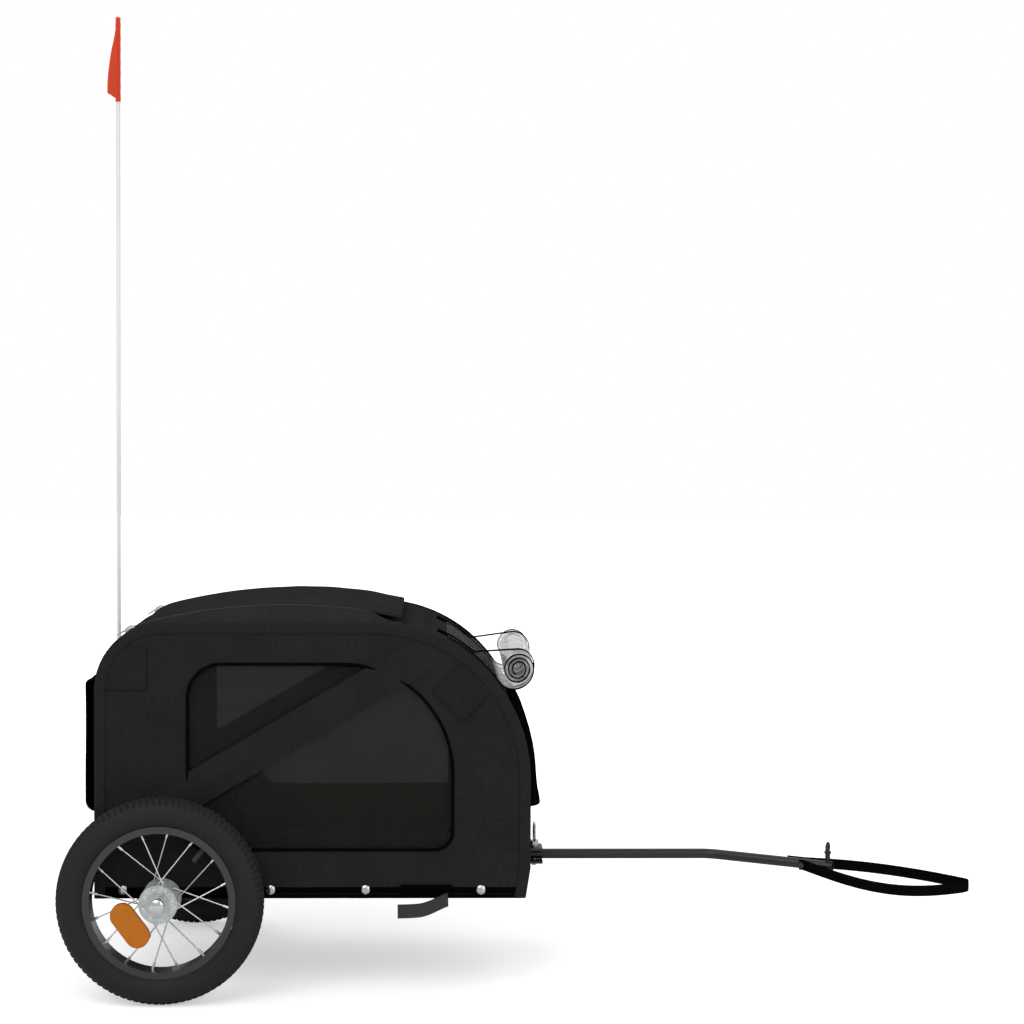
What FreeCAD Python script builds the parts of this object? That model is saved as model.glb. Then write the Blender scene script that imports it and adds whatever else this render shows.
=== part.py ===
import FreeCAD, Part
import math
import os

# Dog trailer for a bicycle: a fabric cabin on a tube chassis with two spoked wheels, a bent tow bar,
# a safety flag and two hoops that fold down inside the cover. Lengths are millimetres.
# +X is forward, +Y is the trailer's left and +Z is up. While building, X is measured from the axle.
# At export all pieces move together, so that the origin is on the ground under the middle of the box.

V = FreeCAD.Vector

# Clearances
fit_gap = 0.05
seat_gap = 0.3
body_gap = 0.5
overrun = 40.0

# Wheels
tyre_radius = 150.0
tyre_width = 45.0
tyre_wall = 3.5
wheel_clearance = 16.5
rim_inner_radius = 100.0
rim_floor = 3.0
rim_width = 30.0
rim_lip_height = 7.0
rim_lip_thickness = 3.0
bead_width = 4.1
bead_overlap = 1.6
tube_section_radius = 17.0
tube_wall = 2.0
valve_radius = 3.8
valve_reach = 25.0
valve_angle = 50.0
spoke_count = 16
spoke_phase = 105.8
spoke_radius = 1.0
spoke_circle = 22.0
spoke_head_radius = 1.9
spoke_head_height = 0.9
spoke_rim_offset = 2.5
spoke_lacing = (-1, 1, 1, -1)
lacing_spaces = 2
nipple_radius = 2.0
nipple_length = 12.0
reflector_length = 71.0
reflector_width = 35.0
reflector_thickness = 8.0
reflector_orbit = 50.0
reflector_angle = 217.0
reflector_back = 17.8
clip_radius = 4.0

# Hubs, axles and release buttons
hub_length = 54.0
hub_barrel_radius = 16.0
hub_bore_radius = 9.0
flange_radius = 28.0
flange_thickness = 3.0
flange_spacing = 44.0
bearing_radius = 14.0
bearing_width = 8.0
axle_radius = 6.0
axle_bore_radius = 4.0
axle_socket_length = 60.0
shoulder_radius = 8.5
collar_radius = 13.7
collar_thickness = 4.0
button_radius = 10.0
button_rim = 2.0
button_dome = 3.0
button_stroke = 3.5
button_stem_length = 40.0

# Cabin cover
cabin_half_width = 190.0
cabin_rear = -99.0
cabin_front = 534.0
cabin_bottom = 144.0
cabin_top = 546.0
rear_top_radius = 98.0
front_top_radius = 228.0
front_tuck = 7.0
front_tuck_height = 44.0
fabric = 3.0
mesh_thickness = 1.0
mesh_margin = 8.0
roof_seam = 386.0
binding_width = 14.0
binding_proud = 2.0
binding_thickness = 2.5
binding_wrap = 8.0

# Side windows, hoop sleeve and patches
window_left = 35.5
window_right = 421.0
window_bottom = 216.0
window_top = 486.0
window_corner = 25.0
window_rear_corner = 48.0
window_front_corner = 160.0
sleeve_x = 152.0
sleeve_drop = 185.0
sleeve_angle = 30.5
sleeve_width = 61.0
sleeve_fore = 232.0
sleeve_aft = 290.0
sleeve_proud = 1.5
patch_size = 62.0
patch_proud = 0.8
rear_patch_x = -56.0
rear_patch_drop = 65.0
front_patch_inset = 45.0
patch_angle = 45.0

# Openings behind the flaps
hatch_rear = -10.0
hatch_front = 322.0
hatch_half_width = 128.0
door_half_width = 132.0
door_corner = 20.0
front_door_drop = 30.0
front_door_rise = 86.0
rear_door_foot = 20.0
rear_door_head = 21.0

# Flaps
flap_thickness = 4.0
roof_flap_rear = -50.0
roof_flap_front = 345.0
roof_flap_half_width = 152.0
roof_flap_front_lift = 8.0
roof_flap_edge_angle = 14.0
roof_flap_mid_angle = 20.0
front_flap_half_width = 150.0
front_flap_top_angle = 28.0
front_flap_flare_radius = 90.0
front_flap_flare_angle = 30.0
rear_flap_half_width = 142.0
rear_flap_drop = 87.0
rear_flap_height = 197.0
rear_flap_depth = 18.0
rear_flap_top_radius = 6.0
rear_flap_bottom_radius = 14.0

# Rolled rain cover and its straps
roll_half_length = 143.0
roll_sheet = 1.2
roll_outer_radius = 22.4
roll_spacing = 3.4
roll_half_turns = 10
roll_angle = 35.0
roll_tail_angle = 62.0
roll_strap_thickness = 1.5
roll_strap_width = 10.0
roll_strap_place = 99.0
roll_strap_angle = 66.0

# Zip sliders
slider_length = 14.0
slider_width = 9.0
slider_height = 6.0
pull_length = 22.0
pull_width = 6.0
pull_thickness = 2.0
slider_x = -52.0
slider_margin = 1.5

# Chassis tubes, floor and rivets
rail_width = 20.0
rail_height = 30.0
rail_bottom = 146.0
rail_wall = 1.5
rail_end_gap = 1.0
axle_tube_radius = 11.1
axle_tube_wall = 2.0
board_thickness = 4.0
mat_thickness = 3.0
mat_margin = 4.0
rivet_head_radius = 7.3
rivet_head_edge = 0.6
rivet_head_dome = 2.6
rivet_shank_radius = 2.5
rivet_height = 155.5
rivet_shares = (0.062, 0.403, 0.622, 0.889)

# Folding hoops
hoop_radius = 6.0
hoop_wall = 1.5
hoop_corner = 45.0
hoop_pivot_x = -83.0
rear_hoop_pivot_z = 191.0
rear_hoop_top_x = -62.0
rear_hoop_drop = 39.0
front_hoop_top_x = 388.0
hoop_tail = 9.0
hoop_bracket_thickness = 4.0
hoop_bracket_length = 24.0
hoop_bracket_margin = 14.0
pivot_radius = 3.0

# Tow bar, receiver and pins
bar_radius = 8.0
bar_wall = 2.5
bar_y = 150.0
bar_pivot_ahead = 27.0
bar_tail = 11.0
bar_straight = 288.0
bar_bend_radius = 60.0
bar_bend_angle = 27.5
bar_end_length = 207.0
socket_radius = 6.0
socket_depth = 30.0
socket_relief = 2.0
socket_relief_radius = 6.5
receiver_plate = 4.0
receiver_half_width = 20.0
receiver_nose = 13.0
receiver_web = 14.0
receiver_web_gap = 14.0
tow_pin_radius = 4.0
tow_pin_head_radius = 7.0
tow_pin_head_height = 10.0
tow_pin_tip = 6.0
tow_ring_radius = 15.0
hitch_pin_radius = 4.0
hitch_pin_inset = 8.0
hitch_pin_head_radius = 5.5
hitch_pin_head_height = 3.0
hitch_pin_stroke = 12.5
hitch_pin_clearance = 0.8
hitch_ring_radius = 7.5
ring_wire_radius = 2.0
ring_bite = 1.5
ring_seam_angle = 90.0

# Webbing
webbing = 2.4
webbing_width = 20.0
strap_reach = 215.0
strap_half_length = 145.0
strap_bulge = 36.0
strap_droop_angle = 3.75
strap_rivet_radius = 2.0
strap_rivet_head_radius = 4.5
strap_rivet_head_height = 1.5
strap_rivet_inset = 5.0
tail_x = 342.0
tail_out = 36.0
tail_radius = 96.0
tail_sweep_angle = 64.0

# Safety flag
pole_radius = 3.25
pole_top = 1499.0
pole_behind = 23.0
pole_y = 170.0
pole_socket_gap = 0.2
pole_socket_wall = 3.0
pole_socket_height = 64.0
pole_socket_floor = 4.0
pole_arm_width = 10.0
pole_arm_height = 9.0
pennant_height = 137.0
pennant_tip_height = 18.0
pennant_top_width = 10.0
pennant_reach = 98.0
pennant_thickness = 1.0
pennant_sleeve_wall = 0.9
pennant_fold_radius = 58.0
pennant_fold_angle = 32.0

# Sizes that follow from the values above
axle_height = tyre_radius
panel_inner = cabin_half_width - fabric
wheel_plane = cabin_half_width + wheel_clearance + tyre_width / 2
track = 2 * wheel_plane
rail_top = rail_bottom + rail_height
rail_inner = panel_inner - rail_width
rail_rear = cabin_rear + fabric
rail_front = cabin_front - front_tuck - fabric - rail_end_gap
front_arc = (cabin_front - front_top_radius, cabin_top - front_top_radius)
rear_arc = (cabin_rear + rear_top_radius, cabin_top - rear_top_radius)
sleeve_z = cabin_top - sleeve_drop
rear_patch_z = cabin_top - rear_patch_drop
rear_hoop_top_z = cabin_top - rear_hoop_drop
front_door_bottom = front_arc[1] - front_door_drop
front_door_top = front_arc[1] + front_door_rise
rear_flap_top = cabin_top - rear_flap_drop
rear_flap_bottom = rear_flap_top - rear_flap_height
rear_door_bottom = rear_flap_bottom + rear_door_foot
rear_door_top = rear_flap_top - rear_door_head
front_leg_y = panel_inner - mesh_thickness - body_gap - hoop_radius
bracket_outer = front_leg_y - hoop_radius - body_gap
bracket_inner = bracket_outer - hoop_bracket_thickness
rear_leg_y = bracket_inner - body_gap - hoop_radius
front_hoop_pivot_z = sleeve_z - (sleeve_x - hoop_pivot_x) * math.tan(math.radians(sleeve_angle))
front_hoop_top_z = sleeve_z + (front_hoop_top_x - sleeve_x) * math.tan(math.radians(sleeve_angle))
bar_z = rail_bottom - receiver_plate - body_gap - bar_radius
bar_pivot_x = cabin_front + bar_pivot_ahead
strap_mid = front_top_radius + seat_gap + roll_strap_thickness / 2
tail_mid = strap_mid + roll_strap_thickness / 2 + seat_gap + roll_sheet / 2
roll_orbit = tail_mid + roll_outer_radius
strap_wrap_radius = roll_orbit - strap_mid
tyre_section = tyre_radius - tyre_width / 2
tyre_cut = rim_inner_radius + rim_floor + rim_lip_height + seat_gap
pole_x = cabin_rear - pole_behind


def polar(centre, radius, angle):
    """Point of a plane at a distance and an angle in degrees from a centre."""
    turn = math.radians(angle)
    return (centre[0] + radius * math.cos(turn), centre[1] + radius * math.sin(turn))


def at(plane, point):
    """Plane point as a space point: the two letters of the plane name its two axes."""
    place = {"x": 0, "y": 0, "z": 0}
    place[plane[0]] = point[0]
    place[plane[1]] = point[1]
    return V(place["x"], place["y"], place["z"])


def normal(plane):
    """Unit vector along the axis that the plane's name leaves out."""
    return {"xz": V(0, 1, 0), "xy": V(0, 0, 1), "yz": V(1, 0, 0)}[plane]


def prism(face, plane, low, high):
    """Face of a plane pushed out from one level to another along the plane's normal."""
    moved = face.copy()
    moved.translate(normal(plane) * low)
    return moved.extrude(normal(plane) * (high - low))


def box(x_low, x_high, y_low, y_high, z_low, z_high):
    """Box between two corners."""
    return Part.makeBox(x_high - x_low, y_high - y_low, z_high - z_low, V(x_low, y_low, z_low))


def rod(start, end, radius):
    """Round bar from one point to another."""
    return Part.makeCylinder(radius, (end - start).Length, start, end - start)


def joined(shapes):
    """Shapes fused into one, without the seams between coplanar faces."""
    return shapes[0].multiFuse(shapes[1:]).removeSplitter()


def domed_disc(place, radius, edge, dome):
    """Round head on a base point, facing +Y, with a straight edge and a domed face."""
    edges = [
        Part.LineSegment(V(0, 0, 0), V(radius, 0, 0)).toShape(),
        Part.LineSegment(V(radius, 0, 0), V(radius, edge, 0)).toShape(),
        Part.LineSegment(V(0, edge + dome, 0), V(0, 0, 0)).toShape(),
    ]
    ball = (radius ** 2 + dome ** 2) / (2 * dome)
    middle = math.degrees(math.asin(radius / ball)) / 2
    centre = (0, edge + dome - ball)
    edges.append(arc_edge("xy", centre, ball, 90 - 2 * middle, 90))
    head = Part.Face(Part.Wire(Part.__sortEdges__(edges))).revolve(V(0, 0, 0), V(0, 1, 0), 360)
    head.translate(place)
    return head


def mirrored(shape):
    """The same shape on the trailer's other side."""
    return shape.mirror(V(0, 0, 0), V(0, 1, 0))


def arc_edge(plane, centre, radius, start, end):
    """Circular edge from one angle to another."""
    points = [at(plane, polar(centre, radius, turn)) for turn in (start, (start + end) / 2, end)]
    return Part.Arc(*points).toShape()


def rounded_face(plane, corners):
    """Face with straight sides and a fillet of its own radius at each corner (a, b, radius)."""
    edges = []
    count = len(corners)
    starts = []
    ends = []
    mids = []
    for index in range(count):
        here = at(plane, corners[index])
        back = (at(plane, corners[index - 1]) - here).normalize()
        ahead = (at(plane, corners[(index + 1) % count]) - here).normalize()
        radius = corners[index][2]
        half = back.getAngle(ahead) / 2
        reach = radius / math.tan(half)
        starts.append(here + back * reach)
        ends.append(here + ahead * reach)
        middle = (back + ahead).normalize()
        mids.append(here + middle * (radius / math.sin(half) - radius))
    for index in range(count):
        if corners[index][2] > 0:
            edges.append(Part.Arc(starts[index], mids[index], ends[index]).toShape())
        following = starts[(index + 1) % count]
        if (following - ends[index]).Length > fit_gap:
            edges.append(Part.LineSegment(ends[index], following).toShape())
    return Part.Face(Part.Wire(edges))


def strip_face(plane, path, thickness):
    """Band of even thickness along a tangent path of lines (p, q) and arcs (centre, radius, from, to)."""
    half = thickness / 2
    left, right = [], []
    first, last = [], []
    for step in path:
        if len(step) == 2:
            start, end = at(plane, step[0]), at(plane, step[1])
            side = normal(plane).cross(end - start).normalize() * half
            if plane == "xz":
                side = side * -1
            pair = [(start + side, end + side), (start - side, end - side)]
            left.append(Part.LineSegment(*pair[0]).toShape())
            right.append(Part.LineSegment(*pair[1]).toShape())
            ends = [(pair[0][0], pair[1][0]), (pair[0][1], pair[1][1])]
        else:
            centre, radius, start, end = step
            inward = half if end > start else -half
            left.append(arc_edge(plane, centre, radius - inward, start, end))
            right.append(arc_edge(plane, centre, radius + inward, start, end))
            ends = []
            for turn in (start, end):
                near = at(plane, polar(centre, radius - inward, turn))
                far = at(plane, polar(centre, radius + inward, turn))
                ends.append((near, far))
        first = first or ends[0]
        last = ends[1]
    caps = [Part.LineSegment(*first).toShape(), Part.LineSegment(*last).toShape()]
    return Part.Face(Part.Wire(Part.__sortEdges__(left + right + caps)))


def ring_tube(start, end, outer, inner):
    """Round tube from one point to another."""
    run = (end - start).normalize() * overrun
    return rod(start, end, outer).cut(rod(start - run, end + run, inner))


def wheel_point(radius, angle, out):
    """Point of a wheel at its own centre: distance from the axle, angle and distance outward."""
    place = polar((0, 0), radius, angle)
    return V(place[0], out, place[1])


def turned(face):
    """Wheel section, drawn with X as the radius and Y as the width, turned about the axle."""
    return face.revolve(V(0, 0, 0), V(0, 1, 0), 360)


def disc(radius, place):
    """Round wheel section at a distance from the axle."""
    return Part.Face(Part.Wire(Part.makeCircle(radius, V(place, 0, 0), V(0, 0, 1))))


def band(inner, outer, low, high):
    """Rectangular wheel section between two radii and two widths."""
    corners = [V(inner, low, 0), V(outer, low, 0), V(outer, high, 0), V(inner, high, 0), V(inner, low, 0)]
    return Part.Face(Part.makePolygon(corners))


def tyre():
    """Round tyre shell, open towards the rim, with a bead inside each rim lip."""
    section = disc(tyre_width / 2, tyre_section).cut(disc(tyre_width / 2 - tyre_wall, tyre_section))
    section = section.cut(band(0, tyre_cut, -tyre_width, tyre_width))
    high = rim_width / 2 - rim_lip_thickness - seat_gap
    low = high - bead_width
    foot = rim_inner_radius + rim_floor + seat_gap
    top = tyre_cut + bead_overlap
    beads = [band(foot, top, low, high), band(foot, top, -high, -low)]
    return turned(joined([section] + beads).Faces[0])


def inner_tube():
    """Air tube inside the tyre, with its valve stem through the rim."""
    centre = tyre_radius - tyre_wall - body_gap - tube_section_radius
    ring = turned(disc(tube_section_radius, centre))
    hollow = turned(disc(tube_section_radius - tube_wall, centre))
    root = wheel_point(centre - tube_section_radius + tube_wall / 2, valve_angle, 0)
    stem = rod(wheel_point(rim_inner_radius - valve_reach, valve_angle, 0), root, valve_radius)
    return joined([ring, stem]).cut(hollow)


def spoke_ends(index):
    """Hub end, rim end and side (1 outer, -1 inner) of one spoke."""
    side = 1 if index % 2 == 0 else -1
    step = 360 / spoke_count
    rim_angle = spoke_phase - index * step
    hub_angle = rim_angle + spoke_lacing[index % len(spoke_lacing)] * lacing_spaces * step
    inner_face = flange_spacing / 2 - flange_thickness / 2 - spoke_radius - fit_gap
    hub_end = wheel_point(spoke_circle, hub_angle, side * inner_face)
    rim_end = wheel_point(rim_inner_radius + rim_floor, rim_angle, side * spoke_rim_offset)
    return hub_end, rim_end, side


def flange_hole(hub_end, side, radius):
    """Bar across a hub flange at the place of a spoke's elbow."""
    outer_face = flange_spacing / 2 + flange_thickness / 2
    return rod(hub_end, V(hub_end.x, side * (outer_face + fit_gap), hub_end.z), radius)


def spokes():
    """Laced spokes, each with its elbow, head and nipple."""
    solids = []
    for index in range(spoke_count):
        hub_end, rim_end, side = spoke_ends(index)
        inward = (hub_end - rim_end).normalize()
        face = side * (flange_spacing / 2 + flange_thickness / 2 + fit_gap)
        head_base = V(hub_end.x, face, hub_end.z)
        head_top = V(hub_end.x, face + side * spoke_head_height, hub_end.z)
        pieces = [
            rod(hub_end, rim_end, spoke_radius),
            Part.makeSphere(spoke_radius, hub_end),
            flange_hole(hub_end, side, spoke_radius),
            rod(head_base, head_top, spoke_head_radius),
            rod(rim_end, rim_end + inward * nipple_length, nipple_radius),
        ]
        solids.append(joined(pieces))
    return Part.makeCompound(solids)


def rim():
    """Channel rim with its two lips, a hole for each nipple and one for the valve."""
    half = rim_width / 2
    floor_radius = rim_inner_radius + rim_floor
    lip = floor_radius + rim_lip_height
    section = [
        band(rim_inner_radius, floor_radius, -half, half),
        band(rim_inner_radius, lip, half - rim_lip_thickness, half),
        band(rim_inner_radius, lip, -half, rim_lip_thickness - half),
    ]
    ring = turned(joined(section).Faces[0])
    holes = []
    for index in range(spoke_count):
        hub_end, rim_end, side = spoke_ends(index)
        inward = (hub_end - rim_end).normalize()
        start = rim_end - inward * rim_floor
        holes.append(rod(start, rim_end + inward * nipple_length, nipple_radius + fit_gap))
    top = wheel_point(lip, valve_angle, 0)
    foot = wheel_point(rim_inner_radius - valve_reach, valve_angle, 0)
    holes.append(rod(foot, top, valve_radius + seat_gap))
    return ring.cut(holes)


def hub():
    """Barrel with two spoke flanges and a bearing seat at each end."""
    half = hub_length / 2
    shapes = [rod(V(0, -half, 0), V(0, half, 0), hub_barrel_radius)]
    for side in (-1, 1):
        middle = side * flange_spacing / 2
        low = V(0, middle - flange_thickness / 2, 0)
        shapes.append(rod(low, V(0, middle + flange_thickness / 2, 0), flange_radius))
    cuts = [rod(V(0, -half - overrun, 0), V(0, half + overrun, 0), hub_bore_radius)]
    for side in (-1, 1):
        seat = rod(V(0, side * (half - bearing_width), 0), V(0, side * (half + overrun), 0), bearing_radius)
        cuts.append(seat)
    for index in range(spoke_count):
        hub_end, rim_end, side = spoke_ends(index)
        cuts.append(flange_hole(hub_end, side, spoke_radius + fit_gap))
    return joined(shapes).cut(cuts)


def bearings():
    """Two bearing rings, one in each end of the hub."""
    half = hub_length / 2
    rings = []
    for side in (-1, 1):
        low, high = sorted((side * half, side * (half - bearing_width)))
        outer = bearing_radius - fit_gap
        rings.append(ring_tube(V(0, low, 0), V(0, high, 0), outer, axle_radius + fit_gap))
    return Part.makeCompound(rings)


def spoke_at(index, distance):
    """Point of a spoke at a distance from the axle."""
    hub_end, rim_end, side = spoke_ends(index)
    run = rim_end - hub_end
    square = run.x ** 2 + run.z ** 2
    half = hub_end.x * run.x + hub_end.z * run.z
    rest = hub_end.x ** 2 + hub_end.z ** 2 - distance ** 2
    return hub_end + run * ((math.sqrt(half ** 2 - square * rest) - half) / square)


def reflector_clips(middle):
    """Clips from the reflector's back to the outer spokes behind it, and the spokes' ways through."""
    clips, ways = [], []
    for index in range(0, spoke_count, 2):
        spot = spoke_at(index, reflector_orbit)
        if math.dist((spot.x, spot.z), middle) < reflector_length / 2 - clip_radius:
            foot = V(spot.x, spot.y - clip_radius, spot.z)
            clips.append(rod(foot, V(spot.x, reflector_back, spot.z), clip_radius))
            hub_end, rim_end, side = spoke_ends(index)
            ways.append(rod(hub_end, rim_end, spoke_radius + fit_gap))
    return clips, ways


def reflector():
    """Oblong reflector lying along the wheel's tangent, clipped to the outer spokes."""
    middle = polar((0, 0), reflector_orbit, reflector_angle)
    radius = reflector_width / 2
    reach = reflector_length / 2 - radius
    tips = [polar(middle, reach, reflector_angle + turn) for turn in (90, -90)]
    front = reflector_back + reflector_thickness
    ends = [rod(V(tip[0], reflector_back, tip[1]), V(tip[0], front, tip[1]), radius) for tip in tips]
    corners = []
    for tip, turns in ((tips[0], (0, 180)), (tips[1], (180, 0))):
        corners += [polar(tip, radius, reflector_angle + turn) + (0,) for turn in turns]
    bridge = prism(rounded_face("xz", corners), "xz", reflector_back, front)
    clips, ways = reflector_clips(middle)
    return joined(ends + [bridge] + clips).cut(ways)


def stub_axle():
    """Hollow axle fixed in the chassis: shoulder, running length and end collar that keep the wheel on."""
    half = hub_length / 2
    inner_end = panel_inner - axle_socket_length - wheel_plane
    shoulder_start = panel_inner + fit_gap - wheel_plane
    collar_start = half + seat_gap
    collar_end = collar_start + collar_thickness
    shapes = [
        rod(V(0, inner_end, 0), V(0, collar_end, 0), axle_radius),
        rod(V(0, shoulder_start, 0), V(0, -half - seat_gap, 0), shoulder_radius),
        rod(V(0, collar_start, 0), V(0, collar_end, 0), collar_radius),
    ]
    bore = rod(V(0, inner_end - overrun, 0), V(0, collar_end + overrun, 0), axle_bore_radius)
    return joined(shapes).cut(bore)


def release_button():
    """Domed push button whose stem runs in the axle's bore."""
    base = hub_length / 2 + seat_gap + collar_thickness + button_stroke + seat_gap
    stem = rod(V(0, base - button_stem_length, 0), V(0, base, 0), axle_bore_radius - fit_gap)
    return joined([stem, domed_disc(V(0, base, 0), button_radius, button_rim, button_dome)])


def wheel_parts():
    """Every node of one wheel and its axle, at the wheel's own centre with +Y outward."""
    return {
        "tyre": tyre(),
        "inner_tube": inner_tube(),
        "rim": rim(),
        "spokes": spokes(),
        "hub": hub(),
        "bearings": bearings(),
        "reflector": reflector(),
        "stub_axle": stub_axle(),
        "release_button": release_button(),
    }


def cabin_face(inset, bottom):
    """Side outline of the cabin, drawn in by an inset, down to a level."""
    rear, front, top = cabin_rear + inset, cabin_front - inset, cabin_top - inset
    corners = [
        (rear, bottom, 0),
        (rear, top, rear_top_radius - inset),
        (front, top, front_top_radius - inset),
        (front, cabin_bottom + front_tuck_height, 0),
        (front - front_tuck, cabin_bottom, 0),
        (front - front_tuck, bottom, 0),
    ]
    if bottom == cabin_bottom:
        corners.pop()
    return rounded_face("xz", corners)


def cabin_shell(outer, inner, low, high):
    """Strip along the rear, top and front of the cabin between two insets, open below."""
    solid = prism(cabin_face(outer, cabin_bottom), "xz", low, high)
    return solid.cut(prism(cabin_face(inner, cabin_bottom - overrun), "xz", low - overrun, high + overrun))


def window_face(margin):
    """Outline of a side window, grown by a margin."""
    corners = [
        (window_left - margin, window_bottom - margin, window_corner + margin),
        (window_right + margin, window_bottom - margin, window_corner + margin),
        (window_right + margin, window_top + margin, window_front_corner + margin),
        (window_left - margin, window_top + margin, window_rear_corner + margin),
    ]
    return rounded_face("xz", corners)


def square_face(middle, length, width, angle):
    """Rectangle about a point, turned by an angle."""
    corners = []
    for along, across in ((-1, -1), (1, -1), (1, 1), (-1, 1)):
        point = polar(middle, along * length / 2, angle)
        corners.append(polar(point, across * width / 2, angle + 90) + (0,))
    return rounded_face("xz", corners)


def rivet_places():
    """Places of the hem rivets along the rails."""
    return [cabin_rear + share * (cabin_front - cabin_rear) for share in rivet_shares]


def side_panel():
    """Left side panel with its window, diagonal hoop sleeve, two patches, and holes for axle and rivets."""
    panel = prism(cabin_face(0, cabin_bottom), "xz", panel_inner, cabin_half_width)
    panel = panel.cut(prism(window_face(0), "xz", panel_inner - overrun, cabin_half_width + overrun))
    middle = polar((sleeve_x, sleeve_z), (sleeve_fore - sleeve_aft) / 2, sleeve_angle)
    sleeve = square_face(middle, sleeve_fore + sleeve_aft, sleeve_width, sleeve_angle)
    front_patch = polar(front_arc, front_top_radius - front_patch_inset, patch_angle)
    proud = [
        prism(sleeve, "xz", panel_inner, cabin_half_width + sleeve_proud),
        prism(square_face((rear_patch_x, rear_patch_z), patch_size, patch_size, 0),
              "xz", panel_inner, cabin_half_width + patch_proud),
        prism(square_face(front_patch, patch_size, patch_size, patch_angle),
              "xz", panel_inner, cabin_half_width + patch_proud),
    ]
    bound = prism(cabin_face(binding_width + seat_gap, cabin_bottom), "xz",
                  panel_inner, cabin_half_width + overrun)
    panel = joined([panel] + [shape.common(bound) for shape in proud])
    notch = V(0, panel_inner - overrun, axle_height)
    holes = [rod(notch, V(0, cabin_half_width + overrun, axle_height), shoulder_radius + body_gap)]
    for place in rivet_places():
        start = V(place, panel_inner - overrun, rivet_height)
        end = V(place, cabin_half_width + overrun, rivet_height)
        holes.append(rod(start, end, rivet_shank_radius + fit_gap))
    return panel.cut(holes)


def window_mesh():
    """Sheet of mesh behind the left window."""
    return prism(window_face(mesh_margin), "xz", panel_inner - mesh_thickness, panel_inner)


def side_binding():
    """Binding along the rear, top and front edges of the left panel, wrapped over its edge."""
    face = cabin_shell(-binding_proud, binding_width, cabin_half_width, cabin_half_width + binding_thickness)
    wrap = cabin_shell(-binding_proud, 0, cabin_half_width - binding_wrap, cabin_half_width)
    return joined([face, wrap])


def rear_wall(shell):
    """Rear wall of the cover with its window, cleared round the flag's arm."""
    wall = shell.common(box(cabin_rear - overrun, rear_arc[0], -track, track, 0, rear_arc[1]))
    door = door_face(rear_door_bottom, rear_door_top)
    arm = flag_arm(body_gap)
    return wall.cut([prism(door, "yz", cabin_rear - overrun, cabin_rear + overrun), arm])


def roof_panel(shell):
    """Roof of the cover, from the rear wall to the front seam, with its hatch."""
    rear, top = cabin_rear - overrun, cabin_top + overrun
    roof = shell.common(box(rear, roof_seam, -track, track, rear_arc[1], top))
    corners = [
        (hatch_rear, -hatch_half_width, door_corner),
        (hatch_front, -hatch_half_width, door_corner),
        (hatch_front, hatch_half_width, door_corner),
        (hatch_rear, hatch_half_width, door_corner),
    ]
    return roof.cut(prism(rounded_face("xy", corners), "xy", cabin_top - overrun, cabin_top + overrun))


def front_wall(shell):
    """Front wall of the cover, from the roof seam to the hem, with its window, cleared over the receiver."""
    wall = shell.common(box(roof_seam, cabin_front + overrun, -track, track, 0, cabin_top + overrun))
    door = prism(door_face(front_door_bottom, front_door_top), "yz", roof_seam, cabin_front + overrun)
    low, high = bar_y - receiver_half_width - body_gap, bar_y + receiver_half_width + body_gap
    notch = box(rail_front, cabin_front + overrun, low, high, 0, rail_bottom + body_gap)
    return wall.cut([door, notch])


def door_face(bottom, top):
    """Window outline in the front or rear wall."""
    corners = [
        (-door_half_width, bottom, door_corner),
        (door_half_width, bottom, door_corner),
        (door_half_width, top, door_corner),
        (-door_half_width, top, door_corner),
    ]
    return rounded_face("yz", corners)


def roof_level(place):
    """Height of the roof's outer face at a place along X."""
    if place < rear_arc[0]:
        return rear_arc[1] + math.sqrt(rear_top_radius ** 2 - (place - rear_arc[0]) ** 2)
    if place > front_arc[0]:
        return front_arc[1] + math.sqrt(front_top_radius ** 2 - (place - front_arc[0]) ** 2)
    return cabin_top


def roof_flap_section(across, slope):
    """Outline of the roof flap at a place along Y: along the rear curve, then an arc to the front edge."""
    under = rear_top_radius + seat_gap
    rear_angle = 90 + math.degrees(math.asin((rear_arc[0] - roof_flap_rear) / under))
    leave = polar(rear_arc, under, 90 + slope)
    front = (roof_flap_front, roof_level(roof_flap_front) + roof_flap_front_lift)
    chord = (front[0] - leave[0], front[1] - leave[1])
    outward = polar((0, 0), 1, 90 + slope)
    radius = -(chord[0] ** 2 + chord[1] ** 2) / (2 * (chord[0] * outward[0] + chord[1] * outward[1]))
    centre = polar(leave, -radius, 90 + slope)
    end = math.degrees(math.atan2(front[1] - centre[1], front[0] - centre[0]))
    half = flap_thickness / 2
    path = [(rear_arc, under + half, rear_angle, 90 + slope), (centre, radius + half, 90 + slope, end)]
    wire = strip_face("xz", path, flap_thickness).OuterWire
    wire.translate(V(0, across, 0))
    return wire


def roof_flap():
    """Crowned roof flap, highest in the middle, between its rear hinge line and its free front edge."""
    stations = (
        (-roof_flap_half_width, roof_flap_edge_angle),
        (0, roof_flap_mid_angle),
        (roof_flap_half_width, roof_flap_edge_angle),
    )
    return Part.makeLoft([roof_flap_section(*station) for station in stations], True, False)


def front_flap():
    """Flap that follows the front curve down from under the roll and flares out at its hem."""
    radius = front_top_radius + seat_gap + flap_thickness / 2
    turn = (front_arc[0] + radius + front_flap_flare_radius, front_arc[1])
    path = [
        (front_arc, radius, front_flap_top_angle, 0),
        (turn, front_flap_flare_radius, 180, 180 + front_flap_flare_angle),
    ]
    face = strip_face("xz", path, flap_thickness)
    return prism(face, "xz", -front_flap_half_width, front_flap_half_width)


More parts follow.
